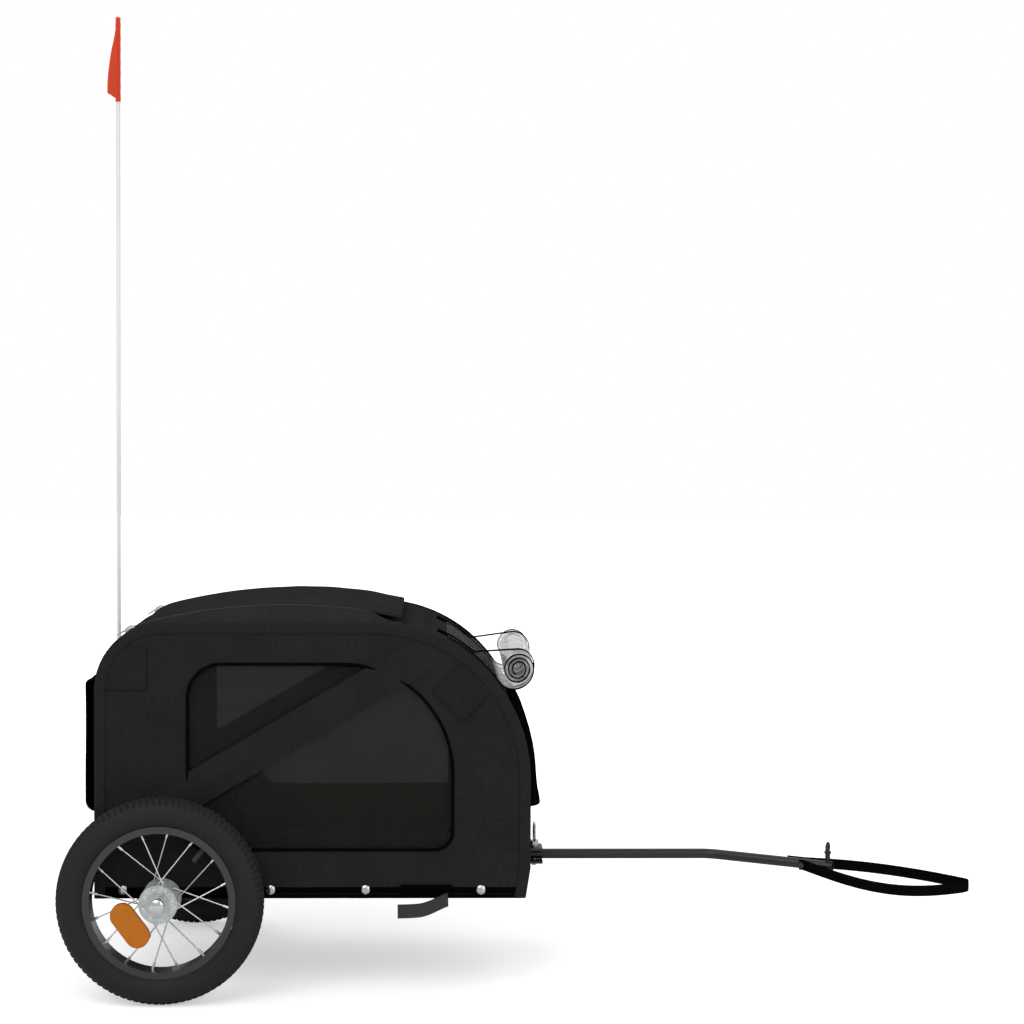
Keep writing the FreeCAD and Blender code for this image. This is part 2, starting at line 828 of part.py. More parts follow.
def rear_flap():
    """Bellied flap over the rear window: out from the wall at the top, down, and back in at the bottom."""
    half = flap_thickness / 2
    wall = cabin_rear - seat_gap
    out = cabin_rear - rear_flap_depth + half
    top, bottom = rear_flap_top - half, rear_flap_bottom + half
    upper = (out + rear_flap_top_radius, top - rear_flap_top_radius)
    lower = (out + rear_flap_bottom_radius, bottom + rear_flap_bottom_radius)
    path = [
        ((wall, top), (upper[0], top)),
        (upper, rear_flap_top_radius, 90, 180),
        ((out, upper[1]), (out, lower[1])),
        (lower, rear_flap_bottom_radius, 180, 270),
        ((lower[0], bottom), (wall, bottom)),
    ]
    face = strip_face("xz", path, flap_thickness)
    return prism(face, "xz", -rear_flap_half_width, rear_flap_half_width)


def roll_turns():
    """Half turns of the rolled cover, as (centre, radius, from, to), outermost first."""
    middle = polar(front_arc, roll_orbit, roll_angle)
    shifted = polar(middle, roll_spacing / 2, roll_angle)
    turns = []
    for index in range(roll_half_turns):
        start = roll_angle + 180 * (index + 1)
        centre = shifted if index % 2 else middle
        turns.append((centre, roll_outer_radius - index * roll_spacing / 2, start, start + 180))
    return turns


def rolled_cover():
    """Clear rain cover: a tail along the front curve that winds into a roll."""
    path = [(front_arc, tail_mid, roll_tail_angle, roll_angle)] + roll_turns()
    face = strip_face("xz", path, roll_sheet)
    return prism(face, "xz", -roll_half_length, roll_half_length)


def roll_gap():
    """Least gap between neighbouring turns of the roll, measured on points."""
    turns = roll_turns()
    least = roll_outer_radius
    for index in range(len(turns) - 2):
        for share in (0, 0.25, 0.5, 0.75, 1):
            points = []
            for centre, radius, start, end in (turns[index], turns[index + 2]):
                points.append(polar(centre, radius, start + share * (end - start)))
            least = min(least, math.dist(*points) - roll_sheet)
    return least


def roll_straps():
    """Two elastic straps, each from the seam under the tail, round the roll and back to the seam."""
    middle = polar(front_arc, roll_orbit, roll_angle)
    anchor = polar(front_arc, strap_mid + roll_strap_thickness + seat_gap, roll_strap_angle)
    away = math.dist(middle, anchor)
    towards = math.degrees(math.atan2(anchor[1] - middle[1], anchor[0] - middle[0]))
    leave = towards - math.degrees(math.acos(strap_wrap_radius / away)) + 360
    path = [
        (front_arc, strap_mid, roll_strap_angle, roll_angle),
        (middle, strap_wrap_radius, roll_angle + 180, leave),
        (polar(middle, strap_wrap_radius, leave), anchor),
    ]
    face = strip_face("xz", path, roll_strap_thickness)
    straps = []
    for place in (-roll_strap_place, roll_strap_place):
        straps.append(prism(face, "xz", place - roll_strap_width / 2, place + roll_strap_width / 2))
    return Part.makeCompound(straps)


def zip_sliders():
    """Two zip sliders with their pulls, beside the rear corners of the roof flap, lying on the roof."""
    slope = math.degrees(math.asin((rear_arc[0] - slider_x) / rear_top_radius))
    sliders = []
    for side in (-1, 1):
        middle = side * (roof_flap_half_width + slider_margin + slider_width / 2)
        low, high = middle - slider_width / 2, middle + slider_width / 2
        body = box(-slider_length / 2, slider_length / 2, low, high, 0, slider_height)
        pull = box(-slider_length / 2 - pull_length, -slider_length / 2,
                   middle - pull_width / 2, middle + pull_width / 2,
                   slider_height - pull_thickness, slider_height)
        slider = joined([body, pull])
        slider.rotate(V(0, 0, 0), V(0, 1, 0), -slope)
        slider.translate(at("xz", polar(rear_arc, rear_top_radius + body_gap, 90 + slope)))
        sliders.append(slider)
    return Part.makeCompound(sliders)


def square_tube(x_low, x_high, y_low, y_high, along):
    """Rectangular chassis tube at rail height, open at its ends along X or Y."""
    outer = box(x_low, x_high, y_low, y_high, rail_bottom, rail_top)
    trim_x = -overrun if along == "x" else rail_wall
    trim_y = -overrun if along == "y" else rail_wall
    inner = box(x_low + trim_x, x_high - trim_x, y_low + trim_y, y_high - trim_y,
                rail_bottom + rail_wall, rail_top - rail_wall)
    return outer.cut(inner)


def side_rail():
    """Left rail, saddled over the axle tube and drilled for the rivets."""
    rail = square_tube(rail_rear, rail_front, rail_inner, panel_inner, "x")
    start = V(0, rail_inner - overrun, axle_height)
    cuts = [rod(start, V(0, panel_inner + overrun, axle_height), axle_tube_radius + fit_gap)]
    for place in rivet_places():
        hole = V(place, panel_inner - rail_width / 2, rivet_height)
        cuts.append(rod(hole, V(place, panel_inner + overrun, rivet_height), rivet_shank_radius + fit_gap))
    return rail.cut(cuts)


def axle_cross_tube():
    """Round tube across the chassis that carries both axles."""
    left = V(0, panel_inner, axle_height)
    right = V(0, -panel_inner, axle_height)
    return ring_tube(right, left, axle_tube_radius, axle_tube_radius - axle_tube_wall)


def axle_sockets():
    """Two sleeves in the ends of the axle tube, which hold the stub axles."""
    outer = axle_tube_radius - axle_tube_wall - fit_gap
    start = V(0, panel_inner - axle_socket_length, axle_height)
    left = ring_tube(start, V(0, panel_inner, axle_height), outer, axle_radius + fit_gap)
    return Part.makeCompound([left, mirrored(left)])


def floor_board():
    """Floor board on the cross tubes, between the rear hoop's legs."""
    half = rear_leg_y - hoop_radius - body_gap
    return box(rail_rear, rail_front, -half, half, rail_top, rail_top + board_thickness)


def floor_mat():
    """Mat on the floor board."""
    half = rear_leg_y - hoop_radius - body_gap - mat_margin
    level = rail_top + board_thickness
    return box(rail_rear + mat_margin, rail_front - mat_margin, -half, half, level, level + mat_thickness)


def hem_rivets():
    """Domed rivets that hold the side panels to the rails."""
    rivets = []
    for place in rivet_places():
        base = V(place, cabin_half_width, rivet_height)
        shank = rod(V(place, panel_inner - rail_wall, rivet_height), base, rivet_shank_radius)
        rivet = joined([shank, domed_disc(base, rivet_head_radius, rivet_head_edge, rivet_head_dome)])
        rivets += [rivet, mirrored(rivet)]
    return Part.makeCompound(rivets)


def hoop_brackets():
    """Upright plates on the rails, each drilled for the two hoop pivots."""
    rear = hoop_pivot_x - hoop_bracket_length / 2
    high = front_hoop_pivot_z + hoop_bracket_margin
    plate = box(rear, rear + hoop_bracket_length, bracket_inner, bracket_outer, rail_top, high)
    for level in (rear_hoop_pivot_z, front_hoop_pivot_z):
        start = V(hoop_pivot_x, bracket_inner - overrun, level)
        end = V(hoop_pivot_x, bracket_outer + overrun, level)
        plate = plate.cut(rod(start, end, pivot_radius + fit_gap))
    return Part.makeCompound([plate, mirrored(plate)])


def hoop_pivot_bolts():
    """Four pivot bolts, one through each hoop leg and its bracket."""
    spans = (
        (rear_hoop_pivot_z, rear_leg_y - hoop_radius, bracket_outer),
        (front_hoop_pivot_z, bracket_inner, front_leg_y + hoop_radius),
    )
    bolts = []
    for level, low, high in spans:
        bolt = rod(V(hoop_pivot_x, low, level), V(hoop_pivot_x, high, level), pivot_radius)
        bolts += [bolt, mirrored(bolt)]
    return Part.makeCompound(bolts)


def hoop_solid(pivot, top, leg_y, radius, tail):
    """Round bar bent into a hoop: up one leg, across the top and down the other leg."""
    up = (top - pivot).normalize()
    across = V(0, 1, 0)
    base = pivot - up * tail
    low = top - up * hoop_corner
    right, left = across * -leg_y, across * leg_y
    edges = []
    diagonal = hoop_corner * (1 - math.sqrt(0.5))
    for side, inward in ((right, across), (left, across * -1)):
        edges.append(Part.LineSegment(base + side, low + side).toShape())
        bend_mid = top + side + (inward - up) * diagonal
        edges.append(Part.Arc(low + side, bend_mid, top + side + inward * hoop_corner).toShape())
    bridge = (top + right + across * hoop_corner, top + left - across * hoop_corner)
    edges.append(Part.LineSegment(*bridge).toShape())
    path = Part.Wire(Part.__sortEdges__(edges))
    section = Part.Wire(Part.makeCircle(radius, base + right, up))
    return path.makePipeShell([section], True, False)


def hoop(pivot, top, leg_y):
    """Bent tube hoop, drilled at both feet for its pivot."""
    bar = hoop_solid(pivot, top, leg_y, hoop_radius, hoop_tail)
    hollow = hoop_solid(pivot, top, leg_y, hoop_radius - hoop_wall, hoop_tail)
    start = V(pivot.x, -cabin_half_width, pivot.z)
    hole = rod(start, V(pivot.x, cabin_half_width, pivot.z), pivot_radius + fit_gap)
    return bar.cut(hollow).cut(hole)


def bar_solid(radius, lead, end_reach):
    """Round bar along the tow bar's route: straight from behind the pivot, one bend, straight to the end."""
    setback = bar_bend_radius * math.tan(math.radians(bar_bend_angle) / 2)
    start = (bar_pivot_x - lead, bar_y)
    bend_start = (bar_pivot_x + bar_straight - setback, bar_y)
    centre = (bend_start[0], bar_y - bar_bend_radius)
    bend_end = polar(centre, bar_bend_radius, 90 - bar_bend_angle)
    end = polar(bend_end, end_reach - setback, -bar_bend_angle)
    lift = V(0, 0, bar_z)
    edges = [
        Part.LineSegment(at("xy", start) + lift, at("xy", bend_start) + lift).toShape(),
        arc_edge("xy", centre, bar_bend_radius, 90, 90 - bar_bend_angle),
        Part.LineSegment(at("xy", bend_end) + lift, at("xy", end) + lift).toShape(),
    ]
    edges[1].translate(lift)
    section = Part.Wire(Part.makeCircle(radius, at("xy", start) + lift, V(1, 0, 0)))
    return Part.Wire(edges).makePipeShell([section], True, False)


def bar_place(along, level):
    """Point on the tow bar's end run, counted forward from its open end, at a level."""
    corner = (bar_pivot_x + bar_straight, bar_y)
    place = polar(corner, bar_end_length + along, -bar_bend_angle)
    return V(place[0], place[1], level)


def bar_aside(along, across, level):
    """Point beside the tow bar's end run, to its left by a distance."""
    place = bar_place(along, level)
    return place + at("xy", polar((0, 0), across, 90 - bar_bend_angle))


def tow_bar():
    """Bent tube with a relieved hitch socket in its end, and holes for two pins and the strap rivet."""
    bar = bar_solid(bar_radius, bar_tail, bar_end_length)
    socket_end = bar_place(-socket_depth, bar_z)
    relief_end = bar_place(-socket_depth - socket_relief, bar_z)
    cuts = [
        bar_solid(bar_radius - bar_wall, bar_tail, bar_end_length),
        rod(socket_end, bar_place(overrun, bar_z), socket_radius),
        rod(relief_end, socket_end, socket_relief_radius),
        vertical_bar(V(bar_pivot_x, bar_y, bar_z), tow_pin_radius + fit_gap),
        vertical_bar(bar_place(-hitch_pin_inset, bar_z), hitch_pin_radius + fit_gap),
        strap_rivet_shank(strap_rivet_radius + fit_gap),
    ]
    for cut in cuts:
        bar = bar.cut(cut)
    return bar


def vertical_bar(middle, radius):
    """Upright cutting bar through a point of the tow bar."""
    reach = V(0, 0, overrun)
    return rod(middle - reach, middle + reach, radius)


def pull_pin(place, foot, seat, radius, head_radius, head_height, ring_radius, ring_axis):
    """Upright pin with a round head on its seat and a wire ring standing through the head."""
    shank = rod(V(place.x, place.y, foot), V(place.x, place.y, seat), radius)
    head_top = seat + head_height
    head = rod(V(place.x, place.y, seat), V(place.x, place.y, head_top), head_radius)
    middle = V(place.x, place.y, head_top + ring_radius - ring_bite)
    ring = Part.makeTorus(ring_radius, ring_wire_radius, middle, ring_axis)
    ring.rotate(middle, ring_axis, ring_seam_angle)
    return joined([shank, head, ring])


def tow_bar_pin():
    """Pull pin on which the tow bar turns in its receiver."""
    foot = bar_z - bar_radius - body_gap - receiver_plate - tow_pin_tip
    return pull_pin(V(bar_pivot_x, bar_y, 0), foot, rail_bottom, tow_pin_radius, tow_pin_head_radius,
                    tow_pin_head_height, tow_ring_radius, V(1, 0, 0))


def hitch_pin():
    """Pin over the hitch socket, drawn up clear of it: pushed down, it locks what is in the socket."""
    seat = bar_z + bar_radius + hitch_pin_stroke
    foot = bar_z + socket_radius + hitch_pin_clearance
    ahead = at("xy", polar((0, 0), 1, -bar_bend_angle))
    return pull_pin(bar_place(-hitch_pin_inset, 0), foot, seat, hitch_pin_radius, hitch_pin_head_radius,
                    hitch_pin_head_height, hitch_ring_radius, ahead)


def tow_receiver():
    """Jaw under the front cross tube: two plates joined by a web behind the tow bar, drilled for its pin."""
    low, high = bar_y - receiver_half_width, bar_y + receiver_half_width
    nose = bar_pivot_x + receiver_nose
    web_front = bar_pivot_x - receiver_web_gap
    web_rear = web_front - receiver_web
    under = bar_z - bar_radius - body_gap
    jaw = joined([
        box(rail_front - rail_width, nose, low, high, rail_bottom - receiver_plate, rail_bottom),
        box(web_rear, nose, low, high, under - receiver_plate, under),
        box(web_rear, web_front, low, high, under - receiver_plate, rail_bottom),
    ])
    return jaw.cut(vertical_bar(V(bar_pivot_x, bar_y, bar_z), tow_pin_radius + fit_gap))


def strap_sizes():
    """Radius of the strap's two curved legs, and how far behind the bar's end they meet the bar."""
    radius = (strap_half_length ** 2 + strap_bulge ** 2) / (2 * strap_bulge)
    rise = radius - strap_bulge + bar_radius + seat_gap
    back = math.sqrt((radius - webbing) ** 2 - rise ** 2)
    return radius, strap_reach - strap_half_length - back


def strap_rivet_place():
    """Place of the strap's rivet along the bar."""
    return strap_sizes()[1] + strap_rivet_inset


def strap_rivet_shank(radius):
    """Bar across the tow bar and both strap legs."""
    along = strap_rivet_place()
    reach = bar_radius + overrun
    return rod(bar_aside(along, -reach, bar_z), bar_aside(along, reach, bar_z), radius)


def strap_outer_face(along):
    """Distance from the bar's middle to the strap's outer face, at a place along the bar."""
    radius = strap_sizes()[0]
    off = strap_reach - strap_half_length - along
    return math.sqrt(radius ** 2 - off ** 2) - radius + strap_bulge


def safety_strap():
    """Drooping webbing loop on edge: two curved legs from the tow bar's sides that meet in a fold."""
    radius, back = strap_sizes()
    middle = strap_reach - strap_half_length
    low, high = bar_z - webbing_width / 2, bar_z + webbing_width / 2
    lenses = []
    for inset in (0, webbing):
        discs = []
        for side in (-1, 1):
            centre = bar_aside(middle, side * (radius - strap_bulge), low)
            discs.append(rod(centre, centre + V(0, 0, high - low), radius - inset))
        lenses.append(discs[0].common(discs[1]))
    loop = lenses[0].cut(lenses[1])
    start = bar_place(back, low)
    behind = Part.makeBox(strap_half_length, track, high - low, V(-strap_half_length, -wheel_plane, 0))
    behind.rotate(V(0, 0, 0), V(0, 0, 1), -bar_bend_angle)
    behind.translate(start)
    loop = loop.cut(behind)
    left = at("xy", polar((0, 0), 1, 90 - bar_bend_angle))
    loop.rotate(bar_place(strap_rivet_place(), bar_z), left, strap_droop_angle)
    return loop.cut(strap_rivet_shank(strap_rivet_radius + fit_gap))


def strap_rivet():
    """Rivet through the tow bar and both strap legs."""
    along = strap_rivet_place()
    face = strap_outer_face(along + strap_rivet_head_radius) + seat_gap
    pieces = [rod(bar_aside(along, -face, bar_z), bar_aside(along, face, bar_z), strap_rivet_radius)]
    for side in (-1, 1):
        base = bar_aside(along, side * face, bar_z)
        tip = bar_aside(along, side * (face + strap_rivet_head_height), bar_z)
        pieces.append(rod(base, tip, strap_rivet_head_radius))
    return joined(pieces)


def webbing_tail():
    """Webbing tail on edge: hung under the right rail, it curves out and back to a cut end."""
    middle = (tail_x, tail_radius - cabin_half_width - tail_out)
    face = strip_face("xy", [(middle, tail_radius, -90, tail_sweep_angle - 90)], webbing)
    high = cabin_bottom - body_gap
    tail = prism(face, "xy", high - webbing_width, high)
    under_rail = box(tail_x, rail_front, body_gap - panel_inner, 0, high - webbing_width, rail_bottom)
    tab = prism(face, "xy", high - webbing_width, rail_bottom).common(under_rail)
    return joined([tail, tab])


def flag_arm(margin):
    """Arm from the left rail back to the flag socket, grown by a margin."""
    half = pole_arm_width / 2 + margin
    low = rail_bottom + rail_wall - margin
    high = rail_bottom + rail_wall + pole_arm_height + margin
    return box(pole_x, rail_rear, pole_y - half, pole_y + half, low, high)


def flag_socket():
    """Upright cup on an arm behind the rear wall, which holds the flag's pole."""
    bore = pole_radius + pole_socket_gap
    foot = V(pole_x, pole_y, rail_bottom)
    top = foot + V(0, 0, pole_socket_height)
    cup = joined([rod(foot, top, bore + pole_socket_wall), flag_arm(0)])
    return cup.cut(rod(foot + V(0, 0, pole_socket_floor), top + V(0, 0, overrun), bore))


def flag_pole():
    """Round pole standing in its socket."""
    foot = rail_bottom + pole_socket_floor
    return rod(V(pole_x, pole_y, foot), V(pole_x, pole_y, pole_top - pole_radius), pole_radius)


def flag_pennant():
    """Pennant with a sleeve over the pole: a sheet with a soft fold, cut to a point low on its free side."""
    low, high = pole_top - pennant_height, pole_top
    inner = pole_radius + fit_gap
    outer = inner + pennant_sleeve_wall
    sleeve = rod(V(pole_x, pole_y, low), V(pole_x, pole_y, high), outer)
    start = (pole_x, pole_y - inner)
    first = (start[0] - pennant_fold_radius, start[1])
    second = polar(polar(first, pennant_fold_radius, -pennant_fold_angle), pennant_fold_radius,
                   -pennant_fold_angle)
    turned_back = 180 - pennant_fold_angle
    path = [
        (first, pennant_fold_radius, 0, -pennant_fold_angle),
        (second, pennant_fold_radius, turned_back, turned_back + 2 * pennant_fold_angle),
    ]
    sheet = prism(strip_face("xy", path, pennant_thickness), "xy", low, high)
    reach = pole_y - pennant_reach
    corners = [
        (pole_y, low, 0),
        (reach, low, 0),
        (reach, low + pennant_tip_height, 0),
        (pole_y - pennant_top_width, high, 0),
        (pole_y, high, 0),
    ]
    sheet = sheet.common(prism(rounded_face("yz", corners), "yz", pole_x - track, pole_x + track))
    bore = rod(V(pole_x, pole_y, low - overrun), V(pole_x, pole_y, pole_top - pole_radius + fit_gap), inner)
    return joined([sleeve, sheet]).cut(bore)


def all_parts():
    """Every node of the trailer by name, with X measured from the axle."""
    parts = {}
    for name, shape in wheel_parts().items():
        left = shape.copy()
        left.translate(V(0, wheel_plane, axle_height))
        parts["left_" + name] = left
        parts["right_" + name] = mirrored(left)
    sides = {
        "side_rail": side_rail(),
        "side_panel": side_panel(),
        "window_mesh": window_mesh(),
        "binding": side_binding(),
    }
    for name, shape in sides.items():
        parts["left_" + name] = shape
        parts["right_" + name] = mirrored(shape)
    shell = cabin_shell(0, fabric, -panel_inner, panel_inner)
    rear_top = V(rear_hoop_top_x, 0, rear_hoop_top_z)
    front_top = V(front_hoop_top_x, 0, front_hoop_top_z)
    parts.update({
        "front_cross_tube": square_tube(rail_front - rail_width, rail_front, -rail_inner, rail_inner, "y"),
        "rear_cross_tube": square_tube(rail_rear, rail_rear + rail_width, -rail_inner, rail_inner, "y"),
        "axle_cross_tube": axle_cross_tube(),
        "axle_sockets": axle_sockets(),
        "floor_board": floor_board(),
        "floor_mat": floor_mat(),
        "hem_rivets": hem_rivets(),
        "hoop_brackets": hoop_brackets(),
        "hoop_pivot_bolts": hoop_pivot_bolts(),
        "rear_hoop": hoop(V(hoop_pivot_x, 0, rear_hoop_pivot_z), rear_top, rear_leg_y),
        "front_hoop": hoop(V(hoop_pivot_x, 0, front_hoop_pivot_z), front_top, front_leg_y),
        "tow_receiver": tow_receiver(),
        "tow_bar": tow_bar(),
        "tow_bar_pin": tow_bar_pin(),
        "hitch_pin": hitch_pin(),
        "safety_strap": safety_strap(),
        "strap_rivet": strap_rivet(),
        "webbing_tail": webbing_tail(),
        "flag_socket": flag_socket(),
        "flag_pole": flag_pole(),
        "flag_pennant": flag_pennant(),
        "rear_wall": rear_wall(shell),
        "roof_panel": roof_panel(shell),
        "front_wall": front_wall(shell),
        "roof_flap": roof_flap(),
        "front_flap": front_flap(),
        "rear_flap": rear_flap(),
        "rolled_cover": rolled_cover(),
        "roll_straps": roll_straps(),
        "zip_sliders": zip_sliders(),
    })
    return parts


def main():
    """Write one file per node, with the origin under the middle of the overall box."""
    os.makedirs("parts", exist_ok=True)
    front_end = bar_place(strap_reach, 0).x
    shift = V((tyre_radius - front_end) / 2, 0, 0)
    for name, shape in sorted(all_parts().items()):
        moved = shape.copy()
        moved.translate(shift)
        moved.exportStep("parts/" + name + ".step")
    print("least gap between the roll's turns", round(roll_gap(), 3))
    print("axle at x", round(shift.x, 3))


main()
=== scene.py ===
"""Looks of the dog bike trailer: cloth cover, tyres, webbing, flag, finishes and a plain studio."""
import math

import bmesh
import bpy
import numpy as np
from bpy.props import FloatProperty, FloatVectorProperty, IntProperty, PointerProperty
from mathutils import Matrix, Vector


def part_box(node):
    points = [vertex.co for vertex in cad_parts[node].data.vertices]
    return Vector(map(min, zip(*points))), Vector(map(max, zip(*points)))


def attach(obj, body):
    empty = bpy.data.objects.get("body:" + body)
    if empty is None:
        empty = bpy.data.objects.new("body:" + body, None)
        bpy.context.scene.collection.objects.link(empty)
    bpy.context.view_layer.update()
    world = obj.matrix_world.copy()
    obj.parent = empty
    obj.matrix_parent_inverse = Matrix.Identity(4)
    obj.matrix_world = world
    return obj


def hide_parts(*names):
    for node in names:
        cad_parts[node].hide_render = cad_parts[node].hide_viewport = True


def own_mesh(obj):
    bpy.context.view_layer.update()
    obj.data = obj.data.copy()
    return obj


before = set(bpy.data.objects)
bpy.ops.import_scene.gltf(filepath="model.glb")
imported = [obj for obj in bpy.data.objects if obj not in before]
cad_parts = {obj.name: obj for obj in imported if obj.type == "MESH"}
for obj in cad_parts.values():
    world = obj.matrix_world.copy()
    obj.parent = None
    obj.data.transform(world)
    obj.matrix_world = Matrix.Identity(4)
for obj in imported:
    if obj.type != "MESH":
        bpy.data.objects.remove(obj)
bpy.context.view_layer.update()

bl_info = {
    "name": "Dog bike trailer looks",
    "version": (1, 0, 0),
    "blender": (4, 5, 0),
    "location": "3D View > Sidebar > Trailer",
    "description": "Builds the cover, tyres, webbing, flag, finishes and studio of a dog bike trailer",
    "category": "Object",
}

# Shapes are worked out in millimetres, with X counted from the axle, and put into the row frame in metres.
MM = 0.001
TYRE_LOW, TYRE_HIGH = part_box("right_tyre")
AXLE_X = (TYRE_LOW.x + TYRE_HIGH.x) / 2
AXLE_Z = (TYRE_LOW.z + TYRE_HIGH.z) / 2 / MM
WHEEL_Y = -(TYRE_LOW.y + TYRE_HIGH.y) / 2 / MM
SIDES = (("right", -1), ("left", 1))
FILM_ROLLED = (0.085, 0.125)
UV_NAME = "cloth"


# Settings

class CoverSettings(bpy.types.PropertyGroup):
    """Sizes of the cloth cover."""
    half_width: FloatProperty(name="Half width", description="Middle to the panel's outer face, in mm", default=190)
    rear: FloatProperty(name="Rear", description="Rear wall, in mm from the axle", default=-99)
    front: FloatProperty(name="Front", description="Front wall, in mm from the axle", default=534)
    bottom: FloatProperty(name="Bottom", description="Hem height in mm", default=144)
    top: FloatProperty(name="Top", description="Roof height in mm", default=546)
    rear_radius: FloatProperty(name="Rear radius", description="Roof curve at the rear, in mm", default=98)
    front_radius: FloatProperty(name="Front radius", description="Roof curve at the front, in mm", default=228)
    pucker: FloatProperty(name="Pucker", description="Unevenness of the stretched cloth, in mm", default=0.9)
    folded_share: FloatProperty(name="Folded height", description="Share of the height that the folded cover keeps",
                                subtype="FACTOR", default=0.28, min=0.05, max=1)
    stitch_pitch: FloatProperty(name="Stitch pitch", description="Length of one stitch, in mm", default=4.2)


class WheelSettings(bpy.types.PropertyGroup):
    """Tread and reflector of the wheels."""
    tread_blocks: IntProperty(name="Tread blocks", description="Blocks round the tyre", default=96)
    tread_depth: FloatProperty(name="Tread depth", description="Depth of the grooves in mm", default=1.7)
    lens_ribs: FloatProperty(name="Lens rib", description="Width of one reflector rib in mm", default=2.6)


class TowSettings(bpy.types.PropertyGroup):
    """Shape of the safety strap."""
    droop: FloatProperty(name="Droop", description="How far the strap's tip hangs, in mm", default=7)
    sag: FloatProperty(name="Sag", description="How much lower the near leg hangs in its middle, in mm", default=12.5)
    width: FloatProperty(name="Width", description="Width of the webbing, in mm", default=16.5)
    reach: FloatProperty(name="Reach", description="Bar end to the strap's tip, in mm", default=214)


class ColourSettings(bpy.types.PropertyGroup):
    """Base colours of the finishes, in linear light."""
    cover: FloatVectorProperty(name="Cover", description="Cloth of the panels and trims", subtype="COLOR",
                               default=(0.0188, 0.0188, 0.0188))
    # A lighter, purple-tinted copy of the cover cloth: painted sheen on the roof, walls and roof flap.
    roof: FloatVectorProperty(name="Roof", description="Cloth of the roof, walls and roof flap", subtype="COLOR",
                              default=(0.0250, 0.0236, 0.0262))
    # Near-black, about a tenth of the cover cloth: partly the flaps' own black and partly painted shade, for the rear
    # flap standing in shadow, the dark band of the hems and the shade under the webbing tail.
    flap: FloatVectorProperty(name="Flap", description="Cloth of the end flaps and hems", subtype="COLOR",
                              default=(0.0017, 0.0017, 0.0018))
    net: FloatVectorProperty(name="Net", description="Window mesh", subtype="COLOR",
                             default=(0.0158, 0.0150, 0.0132))
    tape: FloatVectorProperty(name="Tape", description="Webbing, piping and elastic", subtype="COLOR",
                              default=(0.0034, 0.0034, 0.0035))
    tyre: FloatVectorProperty(name="Tyre", description="Tyre rubber", subtype="COLOR",
                              default=(0.0108, 0.0104, 0.0098))
    bar: FloatVectorProperty(name="Tow bar", description="Satin steel", subtype="COLOR",
                             default=(0.054, 0.051, 0.047))
    lens: FloatVectorProperty(name="Reflector", description="Orange moulding", subtype="COLOR",
                              default=(0.50, 0.150, 0.002))
    pennant: FloatVectorProperty(name="Pennant", description="Flag cloth", subtype="COLOR",
                                 default=(0.76, 0.085, 0.040))


class StageSettings(bpy.types.PropertyGroup):
    """Studio light and camera."""
    key: FloatProperty(name="Key light", description="Power of the key light", subtype="POWER", default=46)
    fill: FloatProperty(name="Fill light", description="Power of the fill light", subtype="POWER", default=20)
    sky: FloatProperty(name="Sky", description="Strength of the even light", default=0.62)
    focal_px: FloatProperty(name="Focal length", description="In pixels of a 1024 pixel image", default=1916.3)


# Paths and outlines

TINY = 1e-6
EDGE_ON = 1e-9
CORNER_SWING = 0.1
RIPPLE_WAVES, RIPPLE_PEAK, RIPPLE_SIZES = 7, 4, (0.6, 1.6)
CABIN_ARC_STEP, CABIN_STEP = 1.5, 4


def run_lengths(points):
    """Distance of each point along a line of points."""
    return np.r_[0, np.cumsum(np.linalg.norm(np.diff(points, axis=0), axis=1))]


def picked(spots, marks, values):
    """Rows of values, read off at spots between marks."""
    return np.stack([np.interp(spots, marks, column) for column in values.T], -1)


def unit(vectors):
    """Vectors made one long."""
    return vectors / np.linalg.norm(vectors, axis=-1, keepdims=True)


def lattice(first, second):
    """Grid of all pairs of two lists of values."""
    return np.stack(np.meshgrid(first, second, indexing="ij"), -1)


def turned(points, degrees, middle):
    """Plane points turned about the origin by an angle and moved to a middle."""
    turn = math.radians(degrees)
    a, b = points[..., 0], points[..., 1]
    return np.stack([middle[0] + a * math.cos(turn) - b * math.sin(turn),
                     middle[1] + a * math.sin(turn) + b * math.cos(turn)], -1)


def polar(centre, radius, degrees):
    """Points of a plane at a distance and an angle from a centre."""
    turn = np.radians(np.asarray(degrees, float))
    return np.stack([centre[0] + radius * np.cos(turn), centre[1] + radius * np.sin(turn)], -1)


def arc(centre, radius, start, end, step=1.5):
    """Points of an arc about a step apart."""
    count = max(3, int(abs(math.radians(end - start)) * radius / step) + 2)
    return polar(centre, radius, np.linspace(start, end, count))


class Track:
    """A plane path by its length: its points, and its normals, which are its tangent turned a quarter left."""

    def __init__(self, points):
        points = np.asarray(points, float)
        keep = np.r_[True, np.linalg.norm(np.diff(points, axis=0), axis=1) > TINY]
        self.points = points[keep]
        self.marks = run_lengths(self.points)
        self.length = self.marks[-1]
        tangent = unit(np.gradient(self.points, self.marks, axis=0))
        self.normals = np.stack([-tangent[:, 1], tangent[:, 0]], -1)

    def at(self, distance):
        """Point at a distance along the path."""
        return picked(distance, self.marks, self.points)

    def side(self, distance):
        """Unit normal at a distance along the path."""
        return unit(picked(distance, self.marks, self.normals))

    def where(self, axis, value, late=False):
        """Distance at which the path crosses a value of one axis, first or last."""
        gap = self.points[:, axis] - value
        hits = np.where(np.diff(np.sign(gap)) != 0)[0]
        spot = hits[-1] if late else hits[0]
        share = gap[spot] / (gap[spot] - gap[spot + 1])
        return self.marks[spot] + share * (self.marks[spot + 1] - self.marks[spot])


def divided(path, step):
    """Track along a path whose long runs are cut into pieces about a step long."""
    cut = [np.linspace(a, b, max(2, int(np.linalg.norm(b - a) / step)), endpoint=False)
           for a, b in zip(path[:-1], path[1:])]
    return Track(np.concatenate(cut + [path[-1:]]))


